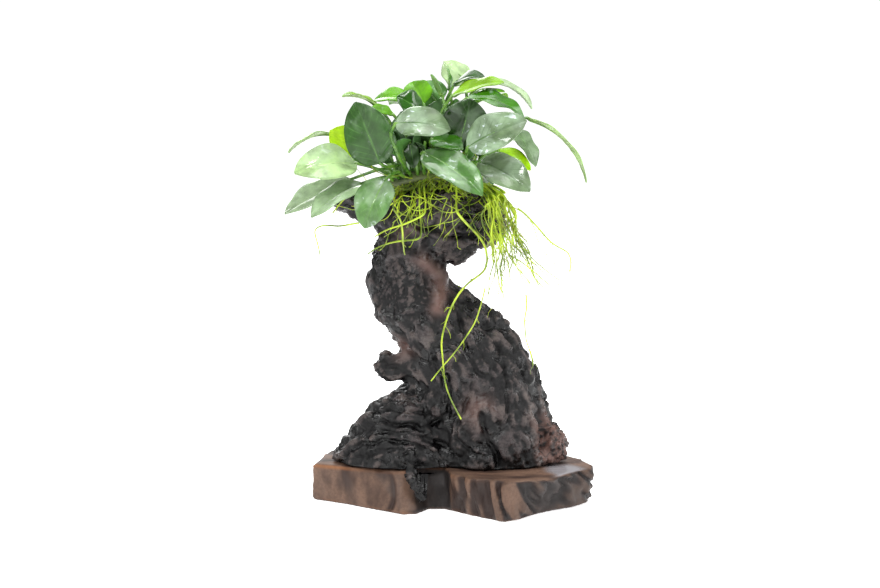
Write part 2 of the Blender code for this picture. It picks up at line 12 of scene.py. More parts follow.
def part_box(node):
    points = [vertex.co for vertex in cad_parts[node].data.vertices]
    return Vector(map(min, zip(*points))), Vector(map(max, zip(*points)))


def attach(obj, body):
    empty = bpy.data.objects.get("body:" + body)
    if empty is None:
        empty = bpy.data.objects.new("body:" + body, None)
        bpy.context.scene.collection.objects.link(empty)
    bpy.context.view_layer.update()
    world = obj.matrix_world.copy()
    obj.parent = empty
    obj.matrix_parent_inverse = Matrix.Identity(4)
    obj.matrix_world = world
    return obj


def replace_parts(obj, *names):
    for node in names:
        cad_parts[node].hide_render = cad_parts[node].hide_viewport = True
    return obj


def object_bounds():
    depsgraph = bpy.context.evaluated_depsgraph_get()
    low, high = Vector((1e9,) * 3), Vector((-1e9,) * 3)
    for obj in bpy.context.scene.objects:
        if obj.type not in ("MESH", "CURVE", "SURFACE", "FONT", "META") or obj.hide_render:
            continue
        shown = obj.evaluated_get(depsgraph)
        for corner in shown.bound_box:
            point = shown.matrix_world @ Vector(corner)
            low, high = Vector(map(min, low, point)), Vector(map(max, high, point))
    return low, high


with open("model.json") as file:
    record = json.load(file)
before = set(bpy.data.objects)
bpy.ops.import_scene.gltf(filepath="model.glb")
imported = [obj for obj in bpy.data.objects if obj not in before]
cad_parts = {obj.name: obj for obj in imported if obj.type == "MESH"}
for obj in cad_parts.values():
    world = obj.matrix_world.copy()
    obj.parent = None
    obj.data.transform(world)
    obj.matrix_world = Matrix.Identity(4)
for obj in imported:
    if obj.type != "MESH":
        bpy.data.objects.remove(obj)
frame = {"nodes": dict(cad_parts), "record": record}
cad_low, cad_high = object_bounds()


# The studio: a white table top in an evenly white room, with one large soft lamp to the upper left,
# a second to the right, one above and a low one behind that lights the young leaves through.
MM = 0.001
FLOOR_RADIUS = 4.0
CAMERA_DISTANCE = 0.9
CAMERA_ELEVATION = math.radians(9)
CAMERA_LENS = 73.6
SENSOR_WIDTH = 36
AIM_HEIGHT_SHARE = 0.479
AIM_SIDEWAYS = Vector((-0.6 * MM, -3.8 * MM, 0))
ROOM_BRIGHTNESS = 0.5
SEEN_BRIGHTNESS = 1.05
FLOOR_GLOW = 0.62
FLOOR_GAP = 0.05 * MM
FLOOR_TONE = (0.93, 0.93, 0.93, 1)
FLOOR_ROUGHNESS = 0.7
WHITE = (1, 1, 1, 1)
LAMPS = (
    # name, place, size across, watts
    ("lamp_key_left", (-0.7, -0.75, 0.95), 0.35, 11.0),
    ("lamp_fill_right", (0.95, -0.35, 0.5), 0.4, 7.0),
    ("lamp_top_front", (0.12, -0.55, 1.05), 0.22, 6.0),
    ("lamp_top", (0.1, 0.1, 1.2), 0.6, 9.0),
    ("lamp_back", (-0.35, 0.95, 0.75), 0.7, 10.0),
)


def new_object(name, mesh):
    """Links a mesh to the scene as an object at the origin."""
    made = bpy.data.objects.new(name, mesh)
    bpy.context.scene.collection.objects.link(made)
    return made


def mesh_from(bm, name):
    """Turns a finished bmesh into a mesh and frees it."""
    mesh = bpy.data.meshes.new(name)
    bm.to_mesh(mesh)
    bm.free()
    return mesh


def add_node(tree, kind, inputs=None, **settings):
    """Adds a shader node, with its settings, its input values and its incoming links."""
    made = tree.nodes.new(kind)
    for name, value in settings.items():
        setattr(made, name, value)
    for socket, value in (inputs or {}).items():
        if isinstance(value, bpy.types.NodeSocket):
            tree.links.new(value, made.inputs[socket])
        else:
            made.inputs[socket].default_value = value
    return made


def new_material(name):
    """A material with an empty tree and a Principled shader joined to its output."""
    material = bpy.data.materials.new(name)
    material.use_nodes = True
    tree = material.node_tree
    tree.nodes.clear()
    shader = add_node(tree, "ShaderNodeBsdfPrincipled")
    add_node(tree, "ShaderNodeOutputMaterial", {"Surface": shader.outputs["BSDF"]})
    return material, tree, shader


middle = (cad_low + cad_high) / 2
aim = Vector((middle.x, middle.y, cad_low.z + AIM_HEIGHT_SHARE * (cad_high.z - cad_low.z))) + AIM_SIDEWAYS

floor_bm = bmesh.new()
bmesh.ops.create_circle(floor_bm, cap_ends=True, segments=96, radius=FLOOR_RADIUS)
bmesh.ops.translate(floor_bm, verts=floor_bm.verts, vec=(0, 0, cad_low.z - FLOOR_GAP))
floor = new_object("studio_floor", mesh_from(floor_bm, "studio_floor"))
floor_material, _, floor_shader = new_material("studio_white")
floor_shader.inputs["Base Color"].default_value = FLOOR_TONE
floor_shader.inputs["Roughness"].default_value = FLOOR_ROUGHNESS
floor_shader.inputs["Emission Color"].default_value = WHITE
floor_shader.inputs["Emission Strength"].default_value = FLOOR_GLOW
floor.data.materials.append(floor_material)

world = bpy.data.worlds.new("white_room")
bpy.context.scene.world = world
world.use_nodes = True
world.node_tree.nodes.clear()
room_glow = add_node(world.node_tree, "ShaderNodeBackground", {"Color": WHITE, "Strength": ROOM_BRIGHTNESS})
seen_glow = add_node(world.node_tree, "ShaderNodeBackground", {"Color": WHITE, "Strength": SEEN_BRIGHTNESS})
seen = add_node(world.node_tree, "ShaderNodeLightPath")
room_mix = add_node(world.node_tree, "ShaderNodeMixShader", {
    0: seen.outputs["Is Camera Ray"], 1: room_glow.outputs[0], 2: seen_glow.outputs[0]})
add_node(world.node_tree, "ShaderNodeOutputWorld", {"Surface": room_mix.outputs[0]})

for lamp_name, lamp_place, lamp_size, lamp_watts in LAMPS:
    lamp_data = bpy.data.lights.new(lamp_name, "AREA")
    lamp_data.size = lamp_size
    lamp_data.energy = lamp_watts
    lamp = bpy.data.objects.new(lamp_name, lamp_data)
    lamp.location = lamp_place
    lamp.rotation_euler = (aim - lamp.location).to_track_quat("-Z", "Y").to_euler()
    bpy.context.scene.collection.objects.link(lamp)

camera_data = bpy.data.cameras.new("camera")
camera_data.lens = CAMERA_LENS
camera_data.sensor_width = SENSOR_WIDTH
camera = bpy.data.objects.new("camera", camera_data)
camera.location = aim + CAMERA_DISTANCE * Vector((0, -math.cos(CAMERA_ELEVATION), math.sin(CAMERA_ELEVATION)))
camera.rotation_euler = (aim - camera.location).to_track_quat("-Z", "Y").to_euler()
bpy.context.scene.collection.objects.link(camera)
bpy.context.scene.camera = camera
bpy.context.scene.view_settings.view_transform = "Standard"


# The base slab: one slice sawn across a dark trunk, flat above and below and smooth on its cut left
# side, with furrowed bark left on its right and back. Its top has a polished, damp-looking patch, with a pale
# grey tint that is a painted reflection.
SLAB_VOXEL = 0.85 * MM
SLAB_BARK_FROM = 0.50
SLAB_RED_TO = 0.60
SLAB_HOLLOW_SHADE = (0.345, 0.50)
SLAB_CRACK = 0.285
SLAB_CRACK_WIDTH = 1.1 * MM
SLAB_CRACK_DEPTH = 1.5 * MM
SLAB_GRAIN_ANGLE = -1.45
SLAB_GRAIN_FAN = 0.62
SLAB_RELIEF = 2.0 * MM
SLAB_FINE_RELIEF = 0.35 * MM
SLAB_SAWN_RELIEF = 0.18 * MM
SLAB_FURROW_WIDTH = 0.42
SLAB_DAMP_REFLECTION_CENTRE = (0.885, 0.32)
SLAB_DAMP_REFLECTION_REACH = (0.075, 0.2)
# Tones: furrow, with painted shade, ridge, the red rim line of wear and painted highlight, and the black of
# the bark and of the hollow's painted shade.
SLAB_TONES = (
    (0.028, 0.014, 0.010, 1), (0.125, 0.072, 0.048, 1), (0.30, 0.105, 0.024, 1), (0.012, 0.009, 0.0085, 1))
SLAB_SEED = 11


def merged_copy(node):
    """A CAD node's mesh as a bmesh, with the doubles of its loose triangles merged."""
    bm = bmesh.new()
    bm.from_mesh(frame["nodes"][node].data)
    bmesh.ops.remove_doubles(bm, verts=bm.verts, dist=0.5e-3 * MM)
    return bm


def voxel_skin(nodes, name, voxel, swell, pegs=()):
    """One closed skin of even quads over CAD nodes, swollen to close their joints, and over round pegs."""
    bm = bmesh.new()
    for node in nodes:
        part = merged_copy(node)
        part.normal_update()
        shifts = [vert.normal * swell for vert in part.verts]
        for vert, shift in zip(part.verts, shifts):
            vert.co += shift
        mesh = mesh_from(part, name)
        bm.from_mesh(mesh)
        bpy.data.meshes.remove(mesh)
    for start, end, radius in pegs:
        turn = (end - start).to_track_quat("Z", "Y").to_matrix().to_4x4()
        bmesh.ops.create_cone(bm, cap_ends=True, segments=12, radius1=radius, radius2=radius,
                              depth=(end - start).length, matrix=Matrix.Translation((start + end) / 2) @ turn)
    rough = new_object(name + "_rough", mesh_from(bm, name))
    remesh = rough.modifiers.new("skin", "REMESH")
    remesh.mode = "VOXEL"
    remesh.voxel_size = voxel
    skin = bpy.data.meshes.new_from_object(rough.evaluated_get(bpy.context.evaluated_depsgraph_get()))
    bpy.data.objects.remove(rough)
    skin.name = name
    return skin


def points_of(mesh):
    """A mesh's vertices as an array."""
    found = np.empty(len(mesh.vertices) * 3)
    mesh.vertices.foreach_get("co", found)
    return found.reshape(-1, 3)


def normals_of(mesh):
    """A mesh's vertex normals as an array."""
    found = np.empty(len(mesh.vertices) * 3)
    mesh.vertex_normals.foreach_get("vector", found)
    return found.reshape(-1, 3)


def set_points(mesh, points):
    """Moves a mesh's vertices to these points."""
    mesh.vertices.foreach_set("co", points.ravel())
    mesh.update()


def neighbour_table(mesh):
    """For each vertex of a quad skin, those that share a face with it; its own number fills the gaps."""
    count = len(mesh.vertices)
    corners = np.empty(len(mesh.loops), np.int64)
    mesh.loops.foreach_get("vertex_index", corners)
    starts = np.empty(len(mesh.polygons), np.int64)
    mesh.polygons.foreach_get("loop_start", starts)
    totals = np.empty(len(mesh.polygons), np.int64)
    mesh.polygons.foreach_get("loop_total", totals)
    quads = corners[starts[totals == 4][:, None] + np.arange(4)]
    pairs = np.concatenate([quads[:, [a, b]] for a in range(4) for b in range(4) if a != b])
    codes = np.unique(pairs[:, 0] * count + pairs[:, 1])
    first, second = codes // count, codes % count
    counts = np.bincount(first, minlength=count)
    place = np.arange(len(first)) - np.repeat(np.cumsum(counts) - counts, counts)
    table = np.repeat(np.arange(count)[:, None], counts.max(), axis=1)
    table[first, place] = second
    return table


def evened(values, table, rounds):
    """Values or points smoothed over the skin in every direction."""
    for _ in range(rounds):
        values = 0.5 * values + 0.5 * values[table].mean(axis=1)
    return values


def drawn_out(values, points, table, flow, rounds, along, across):
    """Values smeared along the flow of the grain: streaks several times as long as they are wide."""
    far = table[table].reshape(len(points), -1)
    offsets = (points[far] - points[:, None]).astype(np.float32)
    run = np.einsum("ijk,ik->ij", offsets, flow.astype(np.float32))
    side = (offsets ** 2).sum(axis=2) - run ** 2
    weights = np.exp(-0.5 * (run / along) ** 2 - 0.5 * side / across ** 2)
    weights /= weights.sum(axis=1, keepdims=True)
    for _ in range(rounds):
        values = (weights * values[far]).sum(axis=1)
    return values


def standard(values):
    """Values shifted and scaled to a mean of 0 and a spread of 1."""
    return (values - values.mean()) / values.std()


def ramp(values, low, high):
    """0 below low, 1 above high, and smooth between them."""
    share = np.clip((values - low) / (high - low), 0, 1)
    return share * share * (3 - 2 * share)


def bell(away, width):
    """1 where this is nothing away, falling smoothly to 0 well past the width."""
    return np.exp(-(away / width) ** 2)


def ridged(values, top, power=1):
    """Ridges with sharp furrows between them, made from values that cross 0."""
    return np.minimum(np.abs(values), top) ** power


def grain_flow(angles, normals):
    """The way the grain runs over a skin, from its angle seen from the front."""
    flow = np.stack([np.cos(angles), np.zeros(len(angles)), np.sin(angles)], axis=1)
    flow -= normals * (flow * normals).sum(axis=1, keepdims=True)
    return flow / (np.linalg.norm(flow, axis=1, keepdims=True) + 1e-9)


def streaks(generator, skin, first_rounds, rounds, along, across):
    """Random streaks along the grain, wider with more first rounds and longer with more rounds."""
    points, table, flow, voxel = skin
    start = evened(generator.standard_normal(len(points)), table, first_rounds)
    return standard(drawn_out(start, points, table, flow, rounds, along * voxel, across * voxel))


def lattice_noise(points, size, seed):
    """Smooth random values from about -1 to 1 over space, in cells of this size."""
    scaled = points / size
    cell = np.floor(scaled).astype(np.int64)
    within = scaled - cell
    within = within * within * (3 - 2 * within)
    total = np.zeros(len(points))
    for corner in range(8):
        step = np.array([corner & 1, corner >> 1 & 1, corner >> 2 & 1])
        key = ((cell + step) * np.array([73856093, 19349663, 83492791])).sum(axis=1) + seed * 2654435761
        key = (key ^ (key >> 13)) * 1274126177 & 0x7FFFFFFF
        value = (key ^ (key >> 16)) % 65536 / 32767.5 - 1
        weight = np.where(step, within, 1 - within).prod(axis=1)
        total += value * weight
    return total


def paint(mesh, name, channels):
    """Stores three masks as one colour attribute that a material can read."""
    layer = mesh.color_attributes.new(name, "FLOAT_COLOR", "POINT")
    colours = np.ones((len(mesh.vertices), 4), np.float32)
    for place, values in enumerate(channels):
        colours[:, place] = np.clip(values, 0, 1)
    layer.data.foreach_set("color", colours.ravel())


slab_low, slab_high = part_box("base_slab")
slab_size = slab_high - slab_low
slab_mesh = voxel_skin(["base_slab"], "slab_of_trunk", SLAB_VOXEL, 0)
slab_points = points_of(slab_mesh)
slab_normals = normals_of(slab_mesh)
slab_table = neighbour_table(slab_mesh)
slab_share = (slab_points - np.array(slab_low)) / np.array(slab_size)
slab_x, slab_z = slab_share[:, 0], slab_share[:, 2]
slab_side = 1 - ramp(np.abs(slab_normals[:, 2]), 0.35, 0.75)
slab_side = evened(slab_side, slab_table, 2)
slab_front = ramp(-slab_normals[:, 1], -0.35, 0.1)
slab_sawn_front = slab_side * slab_front
slab_bark = ramp(slab_x, SLAB_BARK_FROM - 0.02, SLAB_BARK_FROM + 0.02)
slab_bark = slab_side * np.maximum(slab_bark, 1 - slab_front)
slab_top = ramp(slab_normals[:, 2], 0.6, 0.95)

# The grain leans a little more to the right across the slab; the bark's furrows run with it.
slab_lean = SLAB_GRAIN_ANGLE + SLAB_GRAIN_FAN * ramp(slab_x, 0.5, 0.95)
slab_skin = (slab_points, slab_table, grain_flow(slab_lean, slab_normals), SLAB_VOXEL)
slab_random = np.random.default_rng(SLAB_SEED)
slab_wide = streaks(slab_random, slab_skin, 2, 60, 1.7, 0.42)
slab_fine = streaks(slab_random, slab_skin, 0, 12, 1.6, 0.4)
slab_run = slab_points[:, 0] * np.cos(slab_lean) + slab_points[:, 2] * np.sin(slab_lean)
slab_across = slab_points[:, 0] * np.sin(slab_lean) - slab_points[:, 2] * np.cos(slab_lean)
slab_grid = np.stack([slab_across, 0.16 * slab_run, 0.35 * slab_points[:, 1]], axis=1)
slab_coarse = lattice_noise(slab_grid, 5.5 * MM, 31) + 0.6 * lattice_noise(slab_grid, 2.6 * MM, 32)
slab_furrow = ridged(slab_coarse / SLAB_FURROW_WIDTH, 1.5, 0.8)

slab_height = slab_bark * SLAB_RELIEF * (slab_furrow - 0.75) + slab_bark * SLAB_FINE_RELIEF * slab_fine
slab_height += (slab_side - slab_bark) * SLAB_SAWN_RELIEF * (0.6 * slab_wide + 0.5 * slab_fine)
crack_away = (slab_x - SLAB_CRACK + 0.022 * (2 * slab_z - 1) ** 2 - 0.011) * slab_size.x
slab_height -= slab_sawn_front * SLAB_CRACK_DEPTH * bell(crack_away, SLAB_CRACK_WIDTH)
# Painted shade: the hollow in the sawn front is painted black, not carved.
slab_hollow_shade = slab_sawn_front * ramp(slab_x, SLAB_HOLLOW_SHADE[0] - 0.02, SLAB_HOLLOW_SHADE[0] + 0.03)
slab_hollow_shade *= 1 - ramp(slab_x + 0.012 * slab_wide, SLAB_HOLLOW_SHADE[1] - 0.015, SLAB_HOLLOW_SHADE[1] + 0.015)
slab_mesh_points = slab_points + slab_normals * slab_height[:, None]
slab_flat = (1 - slab_side)[:, None]
slab_mesh_points = slab_mesh_points * (1 - slab_flat) + slab_points * slab_flat
slab_worn = lattice_noise(slab_points * np.array([1, 6, 1]), 9 * MM, 5) - 0.6
slab_mesh_points[:, 2] += slab_top * 0.1 * MM * slab_worn
slab_mesh_points = np.clip(slab_mesh_points, np.array(slab_low), np.array(slab_high))
set_points(slab_mesh, slab_mesh_points)

# Its marks: how light the ridges are, with painted shade in the furrows and the crack, the red line along the
# cut rims, which is wear and a painted highlight, and the black bark, with painted shade in its furrows and
# in the hollow.
# The red line along the cut rims is wear and a painted highlight along the edges.
slab_rim_wear_and_highlight = np.maximum(ramp(slab_z, 0.86, 0.97), 0.7 * (1 - ramp(slab_z, 0.02, 0.09)))
slab_rim_wear_and_highlight *= slab_side * (0.5 + 0.5 * lattice_noise(slab_points, 7 * MM, 8)) * (1 - slab_hollow_shade)
slab_rim_wear_and_highlight *= 1 - 0.9 * ramp(slab_x, 0.44, 0.54)
slab_relief_shading = 0.5 + 0.35 * slab_bark * (slab_furrow - 0.8) / 0.4
slab_relief_shading += (1 - slab_bark) * (0.1 * slab_wide + 0.06 * slab_fine)
# Painted shade: the carved crack is darkened.
slab_relief_shading -= 0.5 * slab_sawn_front * bell(crack_away, 1.4 * MM)
slab_relief_shading -= 0.28 * slab_side * ramp(slab_x, SLAB_HOLLOW_SHADE[1] - 0.02, SLAB_HOLLOW_SHADE[1] + 0.02)
slab_dark = slab_bark * (0.35 + 0.65 * ramp(slab_x + 0.05 * slab_wide, SLAB_RED_TO, SLAB_RED_TO + 0.14))
# Painted shade: the bark is darker in its furrows.
slab_dark *= np.maximum(0.35 + 0.65 * (1 - ramp(slab_furrow, 0.5, 1.1)), 0.72 * ramp(slab_x, 0.66, 0.78))
slab_dark = np.maximum(slab_dark, slab_hollow_shade)
slab_blotch = 0.4 * ramp(lattice_noise(slab_points, 30 * MM, 9), -0.2, 0.6)
slab_dark = np.maximum(slab_dark, (1 - slab_side) * slab_blotch)
paint(slab_mesh, "wood_marks", (slab_relief_shading, slab_rim_wear_and_highlight, slab_dark))
# The damp patch on the top: lower roughness there, and a pale grey tint mixed into its colour as a painted
# reflection.
slab_damp_reflection_away = (slab_share[:, :2] - np.array(SLAB_DAMP_REFLECTION_CENTRE)) / np.array(SLAB_DAMP_REFLECTION_REACH)
slab_damp_reflection_away = np.linalg.norm(slab_damp_reflection_away, axis=1) + 0.3 * lattice_noise(slab_points, 6 * MM, 41)
slab_damp_and_painted_reflection = slab_top * (1 - ramp(slab_damp_reflection_away, 0.45, 1.15))
paint(slab_mesh, "damp", (slab_damp_and_painted_reflection, slab_damp_and_painted_reflection, slab_damp_and_painted_reflection))


def mixed(tree, factor, first, second):
    """The colour between two colours or sockets."""
    made = add_node(tree, "ShaderNodeMix", data_type="RGBA")
    for place, value in ((0, factor), (6, first), (7, second)):
        if isinstance(value, bpy.types.NodeSocket):
            tree.links.new(value, made.inputs[place])
        else:
            made.inputs[place].default_value = value
    return made.outputs[2]


def worked(tree, operation, first, second=0.0):
    """One sum on two values or sockets."""
    return add_node(tree, "ShaderNodeMath", {0: first, 1: second}, operation=operation).outputs[0]


def noise(tree, place, scale, detail=2.0, **more):
    """A soft noise in the piece's own space."""
    inputs = {"Vector": place, "Scale": scale, "Detail": detail, **more}
    return add_node(tree, "ShaderNodeTexNoise", inputs).outputs["Fac"]


def ranged(tree, value, low, high, to_low=0.0, to_high=1.0):
    """A value spread smoothly from one range to another."""
    return add_node(tree, "ShaderNodeMapRange", {
        "Value": value, "From Min": low, "From Max": high, "To Min": to_low, "To Max": to_high},
        interpolation_type="SMOOTHSTEP").outputs[0]


def new_group(name, inputs, outputs):
    """An empty shader node group with named inputs and outputs."""
    tree = bpy.data.node_groups.new(name, "ShaderNodeTree")
    for label, kind, value in inputs:
        made = tree.interface.new_socket(name=label, in_out="INPUT", socket_type=kind)
        made.default_value = value
    for label, kind in outputs:
        tree.interface.new_socket(name=label, in_out="OUTPUT", socket_type=kind)
    return tree, tree.nodes.new("NodeGroupInput"), tree.nodes.new("NodeGroupOutput")


def add_piece(name, mesh, materials):
    """Makes a finished mesh into a smooth piece of the part, which rides its one body."""
    for material in materials:
        mesh.materials.append(material)
    mesh.shade_smooth()
    piece = new_object(name, mesh)
    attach(piece, "root")
    return piece


# Speckle is shared by the slab and the driftwood: fine pits, fibres and damp spots in open pores.
speckle, speckle_in, speckle_out = new_group(
    "pores_and_fibres",
    [("Fibre size", "NodeSocketFloat", 900.0), ("Damp", "NodeSocketFloat", 0.5)],
    [("Pores", "NodeSocketFloat"), ("Roughness", "NodeSocketFloat"), ("Height", "NodeSocketFloat")])
speckle_place = add_node(speckle, "ShaderNodeTexCoord").outputs["Object"]
pores = noise(speckle, speckle_place, speckle_in.outputs["Fibre size"], 3.0, Roughness=0.65)
damp_share = ranged(speckle, noise(speckle, speckle_place, 140.0), 0.4, 0.62)
damp_share = worked(speckle, "MULTIPLY", damp_share, speckle_in.outputs["Damp"])
speckle.links.new(ranged(speckle, pores, 0.32, 0.68), speckle_out.inputs["Pores"])
speckle.links.new(ranged(speckle, damp_share, 0.0, 1.0, 0.62, 0.2), speckle_out.inputs["Roughness"])
speckle.links.new(pores, speckle_out.inputs["Height"])


WOOD_GLOSS = 0.3
DAMP_ROUGHNESS = 0.07
# The pale grey that the damp patch is tinted with is a painted reflection.
PAINTED_REFLECTION_TINT = (0.20, 0.19, 0.20, 1)


def wood_material(name, tones, fibre_size, damp, bump):
    """Wood whose ridges, furrows and stained patches follow the marks left on its mesh; its darker furrows
    and lighter ridges are partly painted shade and highlight, and its damp patch has a painted reflection.
    """
    furrow, ridge, second_mark, third_mark = tones
    material, tree, shader = new_material(name)
    marks = add_node(tree, "ShaderNodeSeparateColor", {
        "Color": add_node(tree, "ShaderNodeAttribute", attribute_name="wood_marks").outputs["Color"]})
    pits = add_node(tree, "ShaderNodeGroup", node_tree=speckle)
    pits.inputs["Fibre size"].default_value = fibre_size
    pits.inputs["Damp"].default_value = damp
    relief_shading = ranged(tree, marks.outputs["Red"], 0.22, 0.8)
    grain_low, grain_high = 1 - 0.7 * bump, 1 + 0.65 * bump
    grain = ranged(tree, pits.outputs["Pores"], 0.0, 1.0, grain_low, grain_high)
    relief_shading = worked(tree, "MULTIPLY", relief_shading, grain)
    # Painted shade and highlight: the relief mark darkens the furrows and lightens the ridges.
    colour = mixed(tree, relief_shading, furrow, ridge)
    colour = mixed(tree, marks.outputs["Green"], colour, second_mark)
    colour = mixed(tree, marks.outputs["Blue"], colour, third_mark)
    damp_gloss_and_painted_reflection = add_node(tree, "ShaderNodeAttribute", attribute_name="damp").outputs["Fac"]
    dry = worked(tree, "SUBTRACT", 1.0, damp_gloss_and_painted_reflection)
    roughness = worked(tree, "MULTIPLY", pits.outputs["Roughness"], dry)
    tree.links.new(worked(tree, "MAXIMUM", roughness, DAMP_ROUGHNESS), shader.inputs["Roughness"])
    # Painted reflection: the damp patch is tinted pale grey.
    colour = mixed(tree, damp_gloss_and_painted_reflection, colour, PAINTED_REFLECTION_TINT)
    tree.links.new(colour, shader.inputs["Base Color"])
    bumps = add_node(tree, "ShaderNodeBump", {
        "Height": pits.outputs["Height"], "Strength": bump, "Distance": 0.3 * MM})
    tree.links.new(bumps.outputs["Normal"], shader.inputs["Normal"])
    shader.inputs["Specular IOR Level"].default_value = WOOD_GLOSS
    return material


slab_wood = wood_material("slab_wood_sawn", SLAB_TONES, 700.0, 0.25, 0.25)
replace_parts(add_piece("slab_of_trunk", slab_mesh, [slab_wood]), "base_slab")


# The driftwood: one charred, water-worn root stock with a kneeling foot, a bent neck that ends in a
# sawn knot, and a spread crown. Its furrows run with the grain of each limb; it stands on the slab.
WOOD_NODES = (
    "driftwood_trunk", "driftwood_knee_root", "driftwood_heel_root", "driftwood_neck",
    "driftwood_left_arm", "driftwood_right_arm", "driftwood_drip_root")
WOOD_VOXEL = 0.78 * MM
WOOD_SWELL = 0.35 * MM
WOOD_SEED = 4
SMALLEST_ISLAND = 300
GRAIN_REACH = 0.10
# Where the grain turns, as shares of the wood's box from the left and from below, with its angle.
GRAIN = (
    (0.86, 0.05, 96), (0.62, 0.05, 92), (0.78, 0.25, 108), (0.62, 0.25, 98), (0.72, 0.42, 122),
    (0.58, 0.42, 102), (0.50, 0.32, 96), (0.62, 0.52, 138), (0.42, 0.50, 112), (0.36, 0.62, 100),
    (0.30, 0.80, 86), (0.42, 0.86, 64), (0.62, 0.86, 18), (0.72, 0.92, 8), (0.10, 0.93, 162),
    (0.24, 0.90, 140), (0.28, 0.36, 176), (0.04, 0.03, 62), (0.08, 0.10, 48), (0.18, 0.17, 30),
    (0.28, 0.21, 8), (0.38, 0.17, -6), (0.48, 0.11, -34), (0.56, 0.05, -46), (0.20, 0.05, 24),
    (0.34, 0.05, -2))
# Deep furrows that the weather has cut, each with its width and depth in millimetres.
FURROWS = (
    (2.6, 2.4, (
        (0.62, 0.52), (0.71, 0.49), (0.77, 0.43), (0.82, 0.33), (0.86, 0.24), (0.89, 0.15), (0.90, 0.06))),
    (2.4, 2.6, (
        (0.17, 0.15), (0.25, 0.162), (0.34, 0.154), (0.44, 0.157), (0.50, 0.19), (0.51, 0.25), (0.49, 0.33))),
    (1.8, 1.6, ((0.10, 0.145), (0.16, 0.19), (0.24, 0.205), (0.33, 0.21), (0.42, 0.195))),
    (2.0, 1.8, (
        (0.03, 0.04), (0.08, 0.10), (0.15, 0.135), (0.26, 0.135), (0.38, 0.12), (0.49, 0.08), (0.56, 0.02))),
    (1.8, 1.5, ((0.06, 0.03), (0.14, 0.09), (0.25, 0.105), (0.35, 0.095), (0.44, 0.06), (0.48, 0.02))),
    (1.6, 1.3, ((0.12, 0.03), (0.20, 0.065), (0.30, 0.07), (0.38, 0.045))),
    (2.0, 1.7, ((0.54, 0.55), (0.57, 0.49), (0.57, 0.42), (0.60, 0.36), (0.65, 0.33))),
    (1.8, 1.5, ((0.44, 0.39), (0.47, 0.33), (0.485, 0.26), (0.48, 0.19))),
    (1.8, 1.5, ((0.59, 0.32), (0.585, 0.26), (0.56, 0.21), (0.52, 0.18))),
    (1.7, 1.4, ((0.70, 0.45), (0.73, 0.38), (0.75, 0.30), (0.74, 0.22), (0.70, 0.16))),
    (1.7, 1.4, ((0.55, 0.19), (0.54, 0.12), (0.59, 0.06), (0.65, 0.04))),
    (2.6, 2.0, ((0.64, 0.20), (0.66, 0.12), (0.70, 0.06), (0.70, 0.0))),
    (2.2, 2.4, ((0.39, 0.86), (0.48, 0.835), (0.57, 0.83), (0.67, 0.805))),
    (1.8, 1.6, ((0.52, 0.96), (0.55, 0.91), (0.62, 0.885), (0.70, 0.90))),
    (1.6, 1.3, ((0.30, 0.44), (0.36, 0.40), (0.41, 0.37), (0.45, 0.38))))
# The smooth lip that has grown round the knot.
LIP = ((0.31, 0.765), (0.39, 0.74), (0.455, 0.69), (0.475, 0.63), (0.455, 0.57))
LIP_WIDTH = 3.4 * MM
KNOT_CENTRE = (0.318, 0.639)
KNOT_RADIUS = 15.8 * MM
BURL_CENTRE = (0.95, 0.07)
BURL_FORWARD = 5 * MM
STUB_END = (0.22, 0.35)
WOOD_SHRINK = 0.5
DRIP_DEPTH = 16 * MM
SLAB_SINK = 0.05 * MM
# Where fresh rosy wood shows, each spot with its reach in millimetres.
ROSY_SPOTS = ((0.63, 0.21, 7), (0.31, 0.42, 5), (0.34, 0.83, 6), (0.86, 0.13, 6), (0.47, 0.60, 5))
# Tones: furrow, with painted shade, ridge, rosy wood, and pale weathered wood, which also carries the painted
# rim light.
DRIFTWOOD_TONES = (
    (0.0015, 0.0013, 0.0015, 1), (0.033, 0.0255, 0.0255, 1), (0.105, 0.058, 0.048, 1), (0.15, 0.12, 0.105, 1))
# Rounded swellings: place, radius in millimetres and height in millimetres.
SWELLINGS = (
    (0.50, 0.80, 10, 1.8), (0.63, 0.93, 9, 1.6), (0.70, 0.83, 8, 1.6), (0.50, 0.92, 8, 1.4),
    (0.33, 0.20, 9, 1.2), (0.80, 0.12, 9, 1.0), (0.66, 0.38, 9, 1.0), (0.53, 0.28, 7, 1.0),
    (0.79, 0.30, 8, 1.0), (0.40, 0.46, 8, 1.0))

wood_boxes = [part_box(node) for node in WOOD_NODES if node != "driftwood_drip_root"]
wood_low = Vector([min(low[axis] for low, _ in wood_boxes) for axis in range(3)])
wood_high = Vector([max(high[axis] for _, high in wood_boxes) for axis in range(3)])
wood_size = wood_high - wood_low


def on_wood(share_x, share_z):
    """The place, left to right and up, that is these shares of the way across the driftwood's box."""
    return np.array([wood_low.x + share_x * wood_size.x, wood_low.z + share_z * wood_size.z])


def away_from_line(flat, shares):
    """How far each point is, seen from the front, from a line through these shares of the box."""
    line = [on_wood(*share) for share in shares]
    nearest = np.full(len(flat), 1e9)
    for start, end in zip(line, line[1:]):
        run = end - start
        share = np.clip(((flat - start) @ run) / (run @ run), 0, 1)
        nearest = np.minimum(nearest, np.linalg.norm(flat - start - share[:, None] * run, axis=1))
    return nearest


